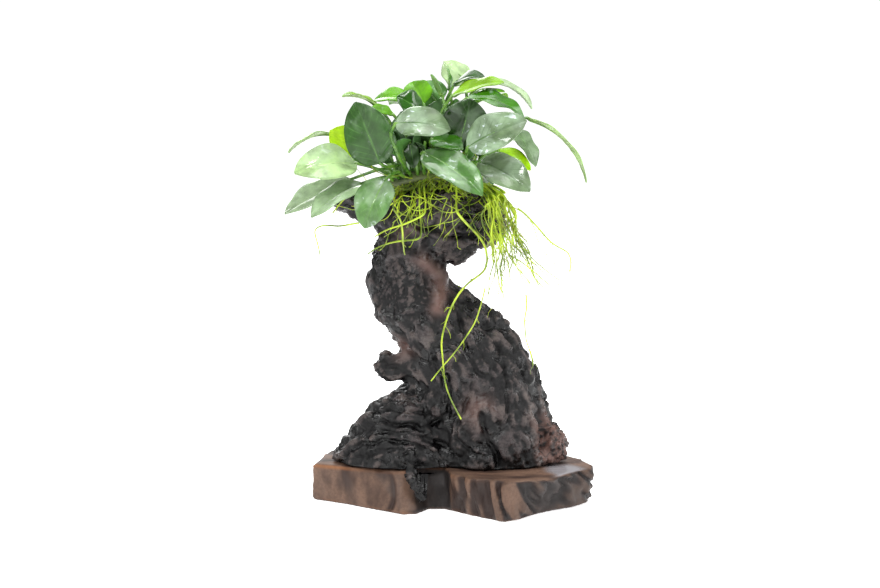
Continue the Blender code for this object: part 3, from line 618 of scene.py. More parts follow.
drip_points = points_of(frame["nodes"]["driftwood_drip_root"].data)
drip_top = Vector(drip_points[drip_points[:, 2] > drip_points[:, 2].max() - 1.5 * MM].mean(axis=0))
drip_shoulder = (drip_top - Vector((0, 0, 2)) * MM, drip_top + Vector((0, 9, 3)) * MM, 3.2 * MM)
wood_mesh = voxel_skin(WOOD_NODES, "driftwood_stock", WOOD_VOXEL, WOOD_SWELL, [drip_shoulder])
wood_bm = bmesh.new()
wood_bm.from_mesh(wood_mesh)
unseen = set(wood_bm.verts)
islands = []
while unseen:
    edge_of_island = [unseen.pop()]
    island = list(edge_of_island)
    while edge_of_island:
        links = {link for vert in edge_of_island for link in vert.link_edges}
        touched = {other for link in links for other in link.verts} & unseen
        unseen -= touched
        edge_of_island = list(touched)
        island += edge_of_island
    islands.append(island)
stray = [vert for island in islands if len(island) < SMALLEST_ISLAND for vert in island]
bmesh.ops.delete(wood_bm, geom=stray, context="VERTS")
wood_bm.to_mesh(wood_mesh)
wood_bm.free()

wood_points = points_of(wood_mesh)
wood_table = neighbour_table(wood_mesh)
wood_points = evened(wood_points, wood_table, 5)
set_points(wood_mesh, wood_points)
wood_normals = evened(normals_of(wood_mesh), wood_table, 2)
wood_normals /= np.linalg.norm(wood_normals, axis=1, keepdims=True)
wood_flat = wood_points[:, [0, 2]]
wood_share = (wood_flat - on_wood(0, 0)) / np.array([wood_size.x, wood_size.z])
wood_x, wood_z = wood_share[:, 0], wood_share[:, 1]
wood_front = ramp(-wood_normals[:, 1], -0.25, 0.2)

grain_sine = np.zeros(len(wood_points))
grain_cosine = np.zeros(len(wood_points))
for share_x, share_z, degrees in GRAIN:
    reach = ((wood_share - np.array([share_x, share_z])) ** 2 * np.array([0.73, 1.0])).sum(axis=1)
    pull = np.exp(-0.5 * reach / GRAIN_REACH ** 2) + 1e-9
    grain_sine += pull * math.sin(2 * math.radians(degrees))
    grain_cosine += pull * math.cos(2 * math.radians(degrees))
grain_angle = 0.5 * np.arctan2(grain_sine, grain_cosine)
wood_skin = (wood_points, wood_table, grain_flow(grain_angle, wood_normals), WOOD_VOXEL)

wood_random = np.random.default_rng(WOOD_SEED)
broad = streaks(wood_random, wood_skin, 26, 60, 1.7, 0.7)
medium = streaks(wood_random, wood_skin, 6, 26, 1.7, 0.55)
slight = streaks(wood_random, wood_skin, 1, 9, 1.7, 0.4)
grit = standard(evened(wood_random.standard_normal(len(wood_points)), wood_table, 1))
pebbles = standard(evened(wood_random.standard_normal(len(wood_points)), wood_table, 4))


def away_from_place(share_x, share_z):
    """How far each point of the wood is, seen from the front, from this place on its box."""
    return np.linalg.norm(wood_flat - on_wood(share_x, share_z), axis=1)


# Where each kind of surface is: the sawn knot and its lip, the burl, the stub, the crown's lumps, the
# smooth neck, and the charred patches. Each mask is 1 inside and fades to 0 round it.
on_knot = wood_front * (1 - ramp(away_from_place(*KNOT_CENTRE), KNOT_RADIUS - 2 * MM, KNOT_RADIUS + 1 * MM))
burl_middle = np.array([*on_wood(*BURL_CENTRE), (wood_low.y + wood_high.y) / 2 - BURL_FORWARD])
burl_away = np.linalg.norm(wood_points[:, [0, 2, 1]] - burl_middle, axis=1)
burl_away = burl_away + 2.5 * MM * lattice_noise(wood_points, 6 * MM, 33)
on_burl = 1 - ramp(burl_away, 12 * MM, 18 * MM)
on_lip = wood_front * bell(away_from_line(wood_flat, LIP), LIP_WIDTH)
on_stub = 1 - ramp(away_from_place(*STUB_END), 4 * MM, 8 * MM)
on_drip = 1 - ramp(wood_points[:, 2], slab_high.z - 1 * MM, slab_high.z)
on_lumps = wood_front * ramp(wood_x, 0.42, 0.5) * ramp(wood_z, 0.72, 0.8)
smooth_neck = wood_front * ramp(wood_z, 0.76, 0.80) * (1 - ramp(wood_z, 0.87, 0.91))
smooth_neck *= ramp(wood_x, 0.12, 0.2) * (1 - ramp(wood_x, 0.34, 0.42))
calm = np.clip(on_lip + 0.8 * smooth_neck + 0.75 * on_knot, 0, 1)
charred = ramp(lattice_noise(wood_points, 15 * MM, 27) + 0.3 * broad, -0.25, 0.45)
# The lowest part is counted in too, so the wood is darker and more pebbly towards the bottom.
charred = np.maximum(charred, 1 - ramp(wood_z, 0.02, 0.16))
grainy = np.clip(on_knot + on_burl + on_stub + on_drip + on_lumps + 0.25 + 0.45 * charred, 0, 1)
grainy = grainy * (1 - on_lip)

# The carving, in millimetres out from the skin.
wood_height = 1.25 * (ridged(broad, 1.5, 0.75) - 0.8) + 1.0 * (ridged(medium, 1.5, 0.8) - 0.7)
wood_height = wood_height * (1 - 0.85 * calm) + (1 - 0.7 * calm) * 0.34 * slight
wood_height += grainy * 1.0 * (ridged(pebbles, 1.6) - 0.7)
wood_height += grainy * 0.32 * grit
wood_height += 1.5 * on_lip - 0.8 * on_knot
for width, depth, shares in FURROWS:
    away = away_from_line(wood_flat + 0.6 * MM * np.stack([broad, medium], axis=1), shares) / MM
    wood_height -= wood_front * depth * bell(away, 0.5 * width)
    wood_height += wood_front * 0.35 * depth * bell(away - 1.1 * width, 0.55 * width)
for share_x, share_z, radius, height in SWELLINGS:
    away = away_from_place(share_x, share_z) / (radius * MM)
    wood_height += wood_front * height * np.sqrt(np.clip(1 - away ** 2, 0, 1))
wood_height *= np.maximum(on_drip, ramp(wood_points[:, 2], slab_high.z + 0.2 * MM, slab_high.z + 1.5 * MM))
wood_height = evened(wood_height, wood_table, 1) - WOOD_SHRINK * (1 - on_lip)
carved = wood_points + wood_normals * wood_height[:, None] * MM
over_slab = wood_points[:, 1] > slab_low.y + DRIP_DEPTH
carved[over_slab, 2] = np.maximum(carved[over_slab, 2], slab_high.z - SLAB_SINK)
set_points(wood_mesh, carved)

# Its marks: the ridges and pebble tops lighter and the furrows darker, partly painted highlight and shade,
# the wood darker towards the bottom and below the slab's top, the rosy wood, and the pale weathered wood with
# a painted rim light down its right side.
pebble_tops = np.abs(pebbles) - 0.7
# Painted shade and highlight: furrows and pits darker, ridges and pebble tops lighter.
wood_relief_shading = 0.5 + 0.24 * evened(wood_height, wood_table, 1) - 0.13 * charred + 0.12 * slight
wood_relief_shading += 0.05 * (medium - 0.3 * np.abs(medium))
wood_relief_shading += 0.16 * grainy * pebble_tops + 0.05 * grit * (1 - on_lip) - 0.3 * on_drip
wood_relief_shading += (on_knot + 0.6 * on_lumps) * (0.12 + 0.24 * pebble_tops + 0.10 * np.maximum(grit, 0))
# The wood is also made darker towards the bottom.
wood_relief_shading = 0.45 + 1.2 * (wood_relief_shading - 0.5) - 0.1 * (1 - ramp(wood_z, 0.35, 0.5))
rosy = 0.75 * on_lip * ramp(wood_x + 0.03 * medium, 0.3, 0.42) + 0.95 * on_burl * ramp(pebbles, -1.1, 0.5)
for share_x, share_z, radius in ROSY_SPOTS:
    rosy += wood_front * 0.7 * bell(away_from_place(share_x, share_z), radius * MM) * ramp(medium, -1, 1)
# Painted light: the right-facing side of the wood's right half is painted paler, as if lit from the right.
painted_rim_light = ramp(wood_x, 0.5, 0.62) * (1 - ramp(-wood_normals[:, 0], -0.75, -0.2))
weathered_and_rim_lit = ramp(lattice_noise(wood_points, 16 * MM, 21) + 0.5 * slight, 0.1, 0.9) * 0.5 + 0.5 * painted_rim_light
paint(wood_mesh, "wood_marks", (wood_relief_shading, rosy, 0.35 * weathered_and_rim_lit * ramp(wood_relief_shading, 0.35, 0.7)))

driftwood_skin = wood_material("driftwood_charred", DRIFTWOOD_TONES, 1100.0, 0.9, 0.8)
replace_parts(add_piece("driftwood_stock", wood_mesh, [driftwood_skin]), *WOOD_NODES)
wood_faces = [tuple(face.vertices) for face in wood_mesh.polygons]
wood_tree = BVHTree.FromPolygons([Vector(point) for point in carved], wood_faces)


# The rhizome: the plant's creeping stem, tied along the crown of the wood. It is thick, green-brown and
# ringed with the scars of old leaves, and every leaf and root grows out of it.
CAP_REACH = {"stalk": 1.4 * MM, "root": 1.1 * MM, "stem": 12 * MM}
RHIZOME_STATIONS = 64
RHIZOME_SIDES = 16
RHIZOME_SCARS = 13
RHIZOME_LUMPS = 0.4 * MM


def in_order(elements):
    """Mesh elements in their mesh's own order, so that every run reads them alike."""
    return sorted(elements, key=lambda element: element.index)


def rings_of(node, near, sides, cap_reach):
    """The rings of points that a lofted CAD node was made with, in order from its end nearest a point."""
    bm = merged_copy(node)
    bm.normal_update()
    bm.verts.index_update()
    left = set(bm.faces)
    caps = []
    for first in bm.faces:
        if first not in left:
            continue
        left.discard(first)
        patch = [first]
        for face in patch:
            for edge in face.edges:
                for other in edge.link_faces:
                    if other in left and other.normal.dot(patch[0].normal) > 0.99995:
                        left.discard(other)
                        patch.append(other)
        verts = in_order({vert for face in patch for vert in face.verts})
        centre = sum((vert.co for vert in verts), Vector()) / len(verts)
        reach = max((vert.co - centre).length for vert in verts)
        if sides - 1 <= len(verts) <= sides and len(patch) >= sides - 3 and reach < cap_reach:
            caps.append(((centre - near).length, verts))
    found = []
    if caps:
        ring = min(caps, key=lambda cap: cap[0])[1]
        seen = set(ring)
        while ring:
            found.append([vert.co.copy() for vert in ring])
            touched = {edge.other_vert(vert) for vert in ring for edge in vert.link_edges}
            ring = in_order(touched - seen)
            seen.update(ring)
    bm.free()
    return [np.array(ring) for ring in found if len(ring) > 2]


def curve_through(values, count):
    """A smooth curve through rows of values, read at this many even steps."""
    values = np.asarray(values, float)
    last = len(values) - 1
    padded = np.concatenate([2 * values[:1] - values[1:2], values, 2 * values[-1:] - values[-2:-1]])
    steps = np.linspace(0, last, count)
    piece = np.minimum(steps.astype(int), last - 1)
    t = (steps - piece)[:, None]
    a, b, c, d = (padded[piece + shift] for shift in range(4))
    bend, twist = 2 * a - 5 * b + 4 * c - d, 3 * b - a - 3 * c + d
    return 0.5 * (2 * b + (c - a) * t + bend * t ** 2 + twist * t ** 3)


def tube_into(bm, centres, radii, sides):
    """Adds a closed round tube through these centres to a bmesh: circles, bridged, with both ends filled."""
    before = None
    turn = None
    for place, (centre, radius) in enumerate(zip(centres, radii)):
        ahead = Vector(centres[min(place + 1, len(centres) - 1)]) - Vector(centres[max(place - 1, 0)])
        ahead.normalize()
        if turn is None:
            turn = ahead.to_track_quat("Z", "Y")
        else:
            turn = (turn @ Vector((0, 0, 1))).rotation_difference(ahead) @ turn
        ring = bmesh.ops.create_circle(bm, segments=sides, radius=radius)["verts"]
        stand = Matrix.Translation(Vector(centre)) @ turn.to_matrix().to_4x4()
        bmesh.ops.transform(bm, matrix=stand, verts=ring)
        edges = list({edge for vert in ring for edge in vert.link_edges})
        if before is None:
            bmesh.ops.contextual_create(bm, geom=edges)
        else:
            bmesh.ops.bridge_loops(bm, edges=before + edges)
        before = edges
    bmesh.ops.contextual_create(bm, geom=before)


def girth(ring):
    """The mean radius of a ring of points."""
    return np.linalg.norm(ring - ring.mean(axis=0), axis=1).mean()


def push_out(mesh, heights):
    """Moves a mesh's vertices out along their normals by these heights."""
    set_points(mesh, points_of(mesh) + normals_of(mesh) * heights[:, None])


def blotched_material(name, scale, detail, tones, roughness, spread=(0.35, 0.65)):
    """A skin whose colour and roughness both follow one soft noise in the piece's own space."""
    material, tree, shader = new_material(name)
    place = add_node(tree, "ShaderNodeTexCoord").outputs["Object"]
    blotch = noise(tree, place, scale, detail)
    tree.links.new(mixed(tree, ranged(tree, blotch, *spread), *tones), shader.inputs["Base Color"])
    tree.links.new(ranged(tree, blotch, 0.3, 0.7, *roughness), shader.inputs["Roughness"])
    return material, shader


rhizome_low, rhizome_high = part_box("rhizome")
rhizome_middle = (rhizome_low + rhizome_high) / 2
rhizome_rings = rings_of("rhizome", rhizome_low, 10, CAP_REACH["stem"])
rhizome_line = curve_through([ring.mean(axis=0) for ring in rhizome_rings], RHIZOME_STATIONS)
rhizome_radii = curve_through([[girth(ring)] for ring in rhizome_rings], RHIZOME_STATIONS)[:, 0]
rhizome_scars = 0.07 * np.abs(np.sin(np.linspace(0, RHIZOME_SCARS * math.pi, RHIZOME_STATIONS)))
rhizome_bm = bmesh.new()
tube_into(rhizome_bm, rhizome_line, rhizome_radii * (1 + rhizome_scars - 0.04), RHIZOME_SIDES)
bmesh.ops.recalc_face_normals(rhizome_bm, faces=rhizome_bm.faces)
rhizome_mesh = mesh_from(rhizome_bm, "rhizome_stem")
push_out(rhizome_mesh, RHIZOME_LUMPS * lattice_noise(points_of(rhizome_mesh), 2.2 * MM, 3))
rhizome_skin, _ = blotched_material(
    "rhizome_skin", 350.0, 3.0, ((0.03, 0.042, 0.012, 1), (0.11, 0.14, 0.035, 1)), (0.3, 0.55))
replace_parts(add_piece("rhizome_stem", rhizome_mesh, [rhizome_skin]), "rhizome")


# The old root bases: the dark, matted lower half of the stem, a lumpy round cord laid along its underside.
# It has grown down onto the wood's crown and fills the gap between the two.
BASES_OFFSET = np.array([0, 1.2, -4.0]) * MM
BASES_RADIUS = 3.3 * MM
BASES_LUMPS = 0.8 * MM
bases_line = rhizome_line[3:-3] + BASES_OFFSET
bases_bm = bmesh.new()
tube_into(bases_bm, bases_line, np.full(len(bases_line), BASES_RADIUS), RHIZOME_SIDES)
bmesh.ops.subdivide_edges(bases_bm, edges=bases_bm.edges, cuts=1, use_grid_fill=True)
bmesh.ops.recalc_face_normals(bases_bm, faces=bases_bm.faces)
bases_mesh = mesh_from(bases_bm, "rhizome_old_root_bases")
bases_points = points_of(bases_mesh)
bases_noise = lattice_noise(bases_points, 2.6 * MM, 13) + 0.6 * lattice_noise(bases_points, 1.2 * MM, 14)
push_out(bases_mesh, BASES_LUMPS * bases_noise)
bases_skin, _ = blotched_material(
    "old_root_bases_skin", 420.0, 4.0, ((0.008, 0.007, 0.004, 1), (0.09, 0.10, 0.025, 1)), (0.45, 0.7),
    (0.38, 0.66))
add_piece("rhizome_old_root_bases", bases_mesh, [bases_skin])


# The leaves: forty stiff, waxy blades on round stalks. Each has a grooved midrib, side veins that curve
# towards its tip and a slightly wavy margin. New leaves are thin and yellow-green, old ones dark.
BLADE_ALONG = 40
BLADE_ACROSS = 14
BLADE_SKIN = 0.5 * MM
BLADE_READS = 200
BLADE_MIDDLE = BLADE_READS // 2
BLADE_CORE = slice(BLADE_MIDDLE - 30, BLADE_MIDDLE + 30)
BLADE_FOOT_WIDTH = 0.8
BLADE_FULL_WIDTH = 1.08
STALK_RINGS = 5
STALK_SIDES = 8
STALK_STEPS = 14
RIB_READ = slice(6, 110, 9)
VEIN_COUNT = 9.0
VEIN_SLANT = 2.9
VEIN_CURVE = 0.85
# A painted pale glare over whole leaves, with its share on each; the others have only a patchy painted sheen.
PAINTED_GLARE_SHARES = {
    "leaf_left_pale": 0.6, "leaf_top_back_pale": 0.7, "leaf_right_top_pale": 0.9, "leaf_left_drooping": 0.45,
    "leaf_right_drooping": 0.3, "leaf_left_low_outer": 0.75, "leaf_left_low_inner": 0.6,
    "leaf_left_hanging": 0.2, "leaf_right_low_large": 0.1, "leaf_front_large_glossy": 0.12,
    "leaf_right_outer": 0.3, "leaf_left_large_dark": 0.05}
PAINTED_GLARE_COLOUR = (0.30, 0.40, 0.24, 1)
PAINTED_SHEEN_COLOUR = (0.24, 0.33, 0.22, 1)
PAINTED_GLINT_COLOUR = (0.66, 0.74, 0.78, 1)
LEAF_TONES = {
    # upper side, veins, underside, roughness, light let through, share of the painted pale sheen, gloss
    "leaf_mature": ((0.010, 0.050, 0.002), (0.06, 0.16, 0.03), (0.07, 0.18, 0.04), 0.2, 0.0, 0.2, 0.24),
    "leaf_dark": ((0.008, 0.026, 0.003), (0.045, 0.10, 0.03), (0.05, 0.11, 0.035), 0.17, 0.0, 0.16, 0.26),
    "leaf_green": ((0.024, 0.105, 0.003), (0.09, 0.22, 0.03), (0.12, 0.25, 0.05), 0.22, 0.04, 0.5, 0.28),
    # The grey leaves' greyish upper colour is a painted sheen over their green.
    "leaf_grey": ((0.088, 0.135, 0.065), (0.04, 0.09, 0.028), (0.16, 0.25, 0.12), 0.24, 0.0, 0.6, 0.26),
    "leaf_bright": ((0.075, 0.23, 0.001), (0.14, 0.33, 0.01), (0.12, 0.27, 0.003), 0.38, 0.1, 0.08, 0.14),
    "leaf_young": ((0.20, 0.38, 0.001), (0.30, 0.50, 0.01), (0.27, 0.44, 0.01), 0.38, 0.12, 0.08, 0.18),
    "leaf_fresh": ((0.14, 0.28, 0.01), (0.25, 0.40, 0.05), (0.21, 0.34, 0.07), 0.34, 0.05, 0.4, 0.2),
}

leaf_skin, leaf_in, leaf_out = new_group(
    "leaf_skin",
    [("Upper", "NodeSocketColor", (0.1, 0.3, 0.05, 1)), ("Veins", "NodeSocketColor", (0.2, 0.4, 0.1, 1)),
     ("Under", "NodeSocketColor", (0.2, 0.4, 0.1, 1)), ("Wax", "NodeSocketFloat", 0.25),
     ("Painted sheen", "NodeSocketFloat", 0.3)],
    [("Colour", "NodeSocketColor"), ("Roughness", "NodeSocketFloat"), ("Height", "NodeSocketFloat")])
leaf_map = add_node(leaf_skin, "ShaderNodeSeparateXYZ", {
    "Vector": add_node(leaf_skin, "ShaderNodeUVMap", uv_map="blade").outputs["UV"]})
off_rib = worked(leaf_skin, "ABSOLUTE", worked(leaf_skin, "SUBTRACT", leaf_map.outputs["Y"], 0.5))
off_rib = worked(leaf_skin, "MULTIPLY", off_rib, 2.0)
vein_run = worked(leaf_skin, "MULTIPLY", leaf_map.outputs["X"], VEIN_COUNT)
vein_slant = worked(leaf_skin, "MULTIPLY", worked(leaf_skin, "POWER", off_rib, VEIN_CURVE), VEIN_SLANT)
vein_away = worked(leaf_skin, "PINGPONG", worked(leaf_skin, "SUBTRACT", vein_run, vein_slant), 0.5)
vein_mask = ranged(leaf_skin, vein_away, 0.02, 0.13, 1.0, 0.0)
leaf_place = add_node(leaf_skin, "ShaderNodeTexCoord").outputs["Object"]
vein_break = noise(leaf_skin, leaf_place, 110.0, 1.0)
vein_mask = worked(leaf_skin, "MULTIPLY", vein_mask, ranged(leaf_skin, off_rib, 0.6, 1.0, 0.34, 0.0))
vein_mask = worked(leaf_skin, "MULTIPLY", vein_mask, ranged(leaf_skin, vein_break, 0.4, 0.62))
rib_fade = ranged(leaf_skin, leaf_map.outputs["X"], 0.3, 0.95, 1.0, 0.25)
rib_mask = worked(leaf_skin, "MULTIPLY", ranged(leaf_skin, off_rib, 0.015, 0.075, 0.85, 0.0), rib_fade)
line_mask = worked(leaf_skin, "MAXIMUM", rib_mask, vein_mask)
leaf_mottle = noise(leaf_skin, leaf_place, 130.0, 4.0, Roughness=0.6)
# Painted sheen: pale grey-green patches mixed into the upper colour stand in for reflections.
painted_sheen_patch = ranged(leaf_skin, noise(leaf_skin, leaf_place, 62.0, Distortion=0.8), 0.45, 0.6)
painted_sheen = worked(leaf_skin, "MULTIPLY", painted_sheen_patch, leaf_in.outputs["Painted sheen"])
# Painted highlights: small bright bluish-white glints inside the sheen patches.
painted_glint_patch = ranged(leaf_skin, noise(leaf_skin, leaf_place, 170.0, Distortion=1.6), 0.62, 0.7)
leaf_upper = mixed(leaf_skin, painted_sheen, leaf_in.outputs["Upper"], PAINTED_SHEEN_COLOUR)
leaf_upper = mixed(leaf_skin, worked(leaf_skin, "MULTIPLY", painted_glint_patch, painted_sheen), leaf_upper, PAINTED_GLINT_COLOUR)
leaf_upper = mixed(leaf_skin, line_mask, leaf_upper, leaf_in.outputs["Veins"])
under_mark = add_node(leaf_skin, "ShaderNodeAttribute", attribute_name="under").outputs["Fac"]
painted_glare_mark = add_node(leaf_skin, "ShaderNodeAttribute", attribute_name="painted_glare").outputs["Fac"]
leaf_colour = mixed(leaf_skin, under_mark, leaf_upper, leaf_in.outputs["Under"])
# Painted glare: a pale colour mixed over the whole leaf.
leaf_colour = mixed(leaf_skin, painted_glare_mark, leaf_colour, PAINTED_GLARE_COLOUR)
leaf_shade = ranged(leaf_skin, leaf_mottle, 0.3, 0.7, 0.7, 1.25)
leaf_colour = add_node(
    leaf_skin, "ShaderNodeVectorMath", {0: leaf_colour, "Scale": leaf_shade}, operation="SCALE")
leaf_skin.links.new(leaf_colour.outputs[0], leaf_out.inputs["Colour"])
leaf_wet = ranged(leaf_skin, noise(leaf_skin, leaf_place, 75.0), 0.42, 0.58, 0.35, 1.6)
leaf_wet = worked(leaf_skin, "MULTIPLY", leaf_in.outputs["Wax"], leaf_wet)
leaf_skin.links.new(leaf_wet, leaf_out.inputs["Roughness"])
leaf_grain = worked(leaf_skin, "MULTIPLY", leaf_mottle, 0.35)
leaf_skin.links.new(worked(leaf_skin, "SUBTRACT", leaf_grain, line_mask), leaf_out.inputs["Height"])


def leaf_material(slot):
    """The waxy skin of one age of leaf."""
    upper, veins, under, wax, lit, painted_sheen_share, gloss = LEAF_TONES[slot]
    material, tree, shader = new_material(slot + "_skin")
    skin = add_node(tree, "ShaderNodeGroup", node_tree=leaf_skin)
    for side, tone in (("Upper", upper), ("Veins", veins), ("Under", under)):
        skin.inputs[side].default_value = (*tone, 1)
    skin.inputs["Wax"].default_value = wax
    skin.inputs["Painted sheen"].default_value = painted_sheen_share
    tree.links.new(skin.outputs["Colour"], shader.inputs["Base Color"])
    tree.links.new(skin.outputs["Roughness"], shader.inputs["Roughness"])
    bumps = add_node(tree, "ShaderNodeBump", {
        "Height": skin.outputs["Height"], "Strength": 0.35, "Distance": 0.25 * MM})
    tree.links.new(bumps.outputs["Normal"], shader.inputs["Normal"])
    shader.inputs["Subsurface Weight"].default_value = lit
    shader.inputs["Subsurface Radius"].default_value = (0.6, 1.0, 0.2)
    shader.inputs["Subsurface Scale"].default_value = 1.2 * MM
    shader.inputs["Specular IOR Level"].default_value = gloss
    return material


leaf_materials = {slot: leaf_material(slot) for slot in LEAF_TONES}
leaf_stalk_skin, _ = blotched_material(
    "leaf_stalk_skin", 220.0, 2.0, ((0.035, 0.11, 0.01, 1), (0.11, 0.24, 0.025, 1)), (0.25, 0.4))
leaf_random = random.Random(7)


def width_line(ring, before):
    """Half the width of a blade's ring, as the vector from its middle to one margin."""
    centred = ring - ring.mean(axis=0)
    _, _, axes = np.linalg.svd(centred, full_matrices=False)
    across = axes[0]
    reach = np.abs(centred @ across).max()
    if before is not None and across @ before < 0:
        across = -across
    return across * reach


def between(rows, low, part):
    """A row read part of the way from one place to the next."""
    return rows[low] * (1 - part) + rows[low + 1] * part


def blade_faces(bm, centres, widths, wave):
    """Adds a leaf blade: a grid laid over its centre line and folded at the midrib."""
    grid = bmesh.ops.create_grid(bm, x_segments=BLADE_ALONG, y_segments=BLADE_ACROSS, size=1, calc_uvs=True)
    line = curve_through(centres, BLADE_READS)
    spread = curve_through(widths, BLADE_READS)
    ahead = np.gradient(line, axis=0)
    ahead /= np.linalg.norm(ahead, axis=1, keepdims=True)
    half = np.linalg.norm(spread, axis=1)
    across = spread / half[:, None]
    across -= ahead * (across * ahead).sum(axis=1, keepdims=True)
    across /= np.linalg.norm(across, axis=1, keepdims=True)
    face = np.cross(ahead, across)
    outward = Vector(line[BLADE_MIDDLE]) - rhizome_middle
    outward.z = 0
    outward.normalize()
    wanted = np.array([outward.x * 0.8, outward.y * 0.8, 1.0])
    if face[BLADE_CORE].mean(axis=0) @ wanted < 0:
        face = -face
    travelled = np.concatenate([[0], np.cumsum(np.linalg.norm(np.diff(line, axis=0), axis=1))])
    travelled /= travelled[-1]
    steps, heights, phase = wave
    for vert in grid["verts"]:
        u, v = (vert.co.x + 1) / 2, vert.co.y
        at = np.interp(u, travelled, np.arange(BLADE_READS))
        low = min(int(at), BLADE_READS - 2)
        part = at - low
        width = between(half, low, part)
        away = abs(v) * width
        lift = 0.34 * away - 0.16 * width * v * v
        lift += heights * width * math.sin(2 * math.pi * (steps * u + phase + 0.25 * (v > 0))) * abs(v) ** 2.5
        lift -= 0.30 * MM * math.exp(-(away / (0.55 * MM)) ** 2)
        vein = (u * VEIN_COUNT - VEIN_SLANT * abs(v) ** VEIN_CURVE) % 1.0
        lift -= 0.09 * MM * math.exp(-((vein - 0.5) / 0.2) ** 2) * (1 - abs(v)) * min(1.0, width / (4 * MM))
        aside = between(across, low, part) * (v * width)
        vert.co = Vector(between(line, low, part) + aside + between(face, low, part) * lift)
    return line, face


def leaf_piece(name, slot, centres, widths, glare_share):
    """One whole leaf: its blade and its stalk, laid along the middles of its rings."""
    bm = bmesh.new()
    bm.loops.layers.uv.new("blade")
    under = bm.verts.layers.float.new("under")
    painted_glare = bm.verts.layers.float.new("painted_glare")
    wave = (leaf_random.uniform(1.2, 2.4), leaf_random.uniform(0.05, 0.13), leaf_random.random())
    line, face = blade_faces(bm, centres[STALK_RINGS - 1:], widths, wave)
    bm.normal_update()
    if sum(blade_face.normal.dot(Vector(face[BLADE_MIDDLE])) for blade_face in bm.faces) < 0:
        bmesh.ops.reverse_faces(bm, faces=bm.faces)
    upper_verts = set(bm.verts)
    bmesh.ops.solidify(bm, geom=list(bm.faces), thickness=BLADE_SKIN)
    for vert in bm.verts:
        vert[under] = 0.0 if vert in upper_verts else 1.0
        vert[painted_glare] = glare_share
    stalk_faces_from = len(bm.faces)
    stalk_line = curve_through(centres[:STALK_RINGS], STALK_STEPS)
    rib_girths = np.linspace(0.75, 0.22, len(line[RIB_READ])) * MM
    rib_depth = (rib_girths + BLADE_SKIN / 2) * np.minimum(1, 0.4 * (1 + np.arange(len(rib_girths))))
    rib_line = line[RIB_READ] - face[RIB_READ] * rib_depth[:, None]
    radii = np.concatenate([np.linspace(0.95, 0.75, STALK_STEPS) * MM, rib_girths])
    tube_into(bm, np.concatenate([stalk_line, rib_line]), radii, STALK_SIDES)
    bm.faces.ensure_lookup_table()
    for stalk_face in bm.faces[stalk_faces_from:]:
        stalk_face.material_index = 1
    bmesh.ops.recalc_face_normals(bm, faces=bm.faces)
    return add_piece(name, mesh_from(bm, name), [leaf_materials[slot], leaf_stalk_skin])


def make_leaf(node, slot):
    """The leaf that stands for a CAD node, laid along that node's own rings."""
    rings = rings_of(node, rhizome_middle, 6, CAP_REACH["stalk"])
    centres = [ring.mean(axis=0) for ring in rings]
    widths = []
    for ring in rings[STALK_RINGS - 1:]:
        widths.append(width_line(ring, widths[-1] if widths else None))
    for place in range(len(widths) - 2, -1, -1):
        if widths[place] @ widths[place + 1] < 0:
            widths[place] = -widths[place]
    widths = [width * (BLADE_FULL_WIDTH if place else BLADE_FOOT_WIDTH) for place, width in enumerate(widths)]
    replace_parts(leaf_piece(node + "_blade", slot, centres, widths, PAINTED_GLARE_SHARES.get(node, 0.0)), node)


node_slots = {part["node"]: part["material_slot"] for part in frame["record"]["subparts"]}
for leaf_node in sorted(name for name in frame["nodes"] if name.startswith("leaf_")):
    make_leaf(leaf_node, node_slots[leaf_node])


# The inner leaves: small, dark old ones on short stalks, made like the others but laid from this table.
# They grow low in the middle of the plant and close its heart behind the large outer leaves.
INNER_LEAVES = (
    # along the rhizome, sideways and forward reach, height, length, width in millimetres, turn, slot
    (0.10, -6, -9, 15, 17, 5.5, 0.5, "leaf_dark"), (0.20, -2, -11, 17, 17, 6, 0.1, "leaf_mature"),
    (0.32, 2, -12, 13, 16, 5.5, -0.5, "leaf_dark"), (0.42, -4, -9, 20, 17, 6, 0.6, "leaf_dark"),
    (0.50, 1, -13, 12, 15, 5, 0.2, "leaf_mature"), (0.56, 5, -9, 19, 18, 6.5, -0.4, "leaf_dark"),
    (0.66, 2, -8, 24, 18, 6, 0.3, "leaf_dark"), (0.72, 6, -11, 14, 17, 6, -0.6, "leaf_mature"),
    (0.84, 7, -7, 17, 18, 6, -0.2, "leaf_dark"), (0.28, -3, 6, 22, 18, 6.5, 0.3, "leaf_dark"),
    (0.48, 0, 8, 26, 20, 7, -0.3, "leaf_dark"), (0.68, 4, 7, 23, 19, 6.5, 0.2, "leaf_dark"),
    (0.38, -5, -3, 28, 17, 6, 0.8, "leaf_dark"), (0.60, 3, -3, 30, 18, 6.5, -0.7, "leaf_mature"),
    (0.15, -6, -7, 20, 16, 7, 0.4, "leaf_dark"), (0.36, -1, -7, 18, 16, 7.5, -0.2, "leaf_dark"),
    (0.46, 3, -6, 23, 16, 7.5, 0.4, "leaf_dark"), (0.62, -2, -6, 16, 15, 7, -0.3, "leaf_dark"),
    (0.78, 2, -5, 19, 16, 7, 0.3, "leaf_dark"), (0.90, 8, -9, 12, 16, 6, 0.1, "leaf_mature"),
    (0.52, 2, 6, 33, 22, 8.5, 0.3, "leaf_dark"), (0.62, 4, 8, 36, 20, 8, -0.3, "leaf_mature"),
    (0.42, -3, 8, 34, 20, 8, 0.2, "leaf_dark"), (0.86, 4, -3, 18, 17, 7.5, 0.2, "leaf_dark"),
    (0.74, 8, 0, 22, 18, 7.5, -0.2, "leaf_dark"), (0.30, -5, 4, 28, 20, 8, -0.2, "leaf_mature"))
INNER_OUTLINE = (0.12, 0.62, 0.93, 1.0, 0.84, 0.5, 0.1)
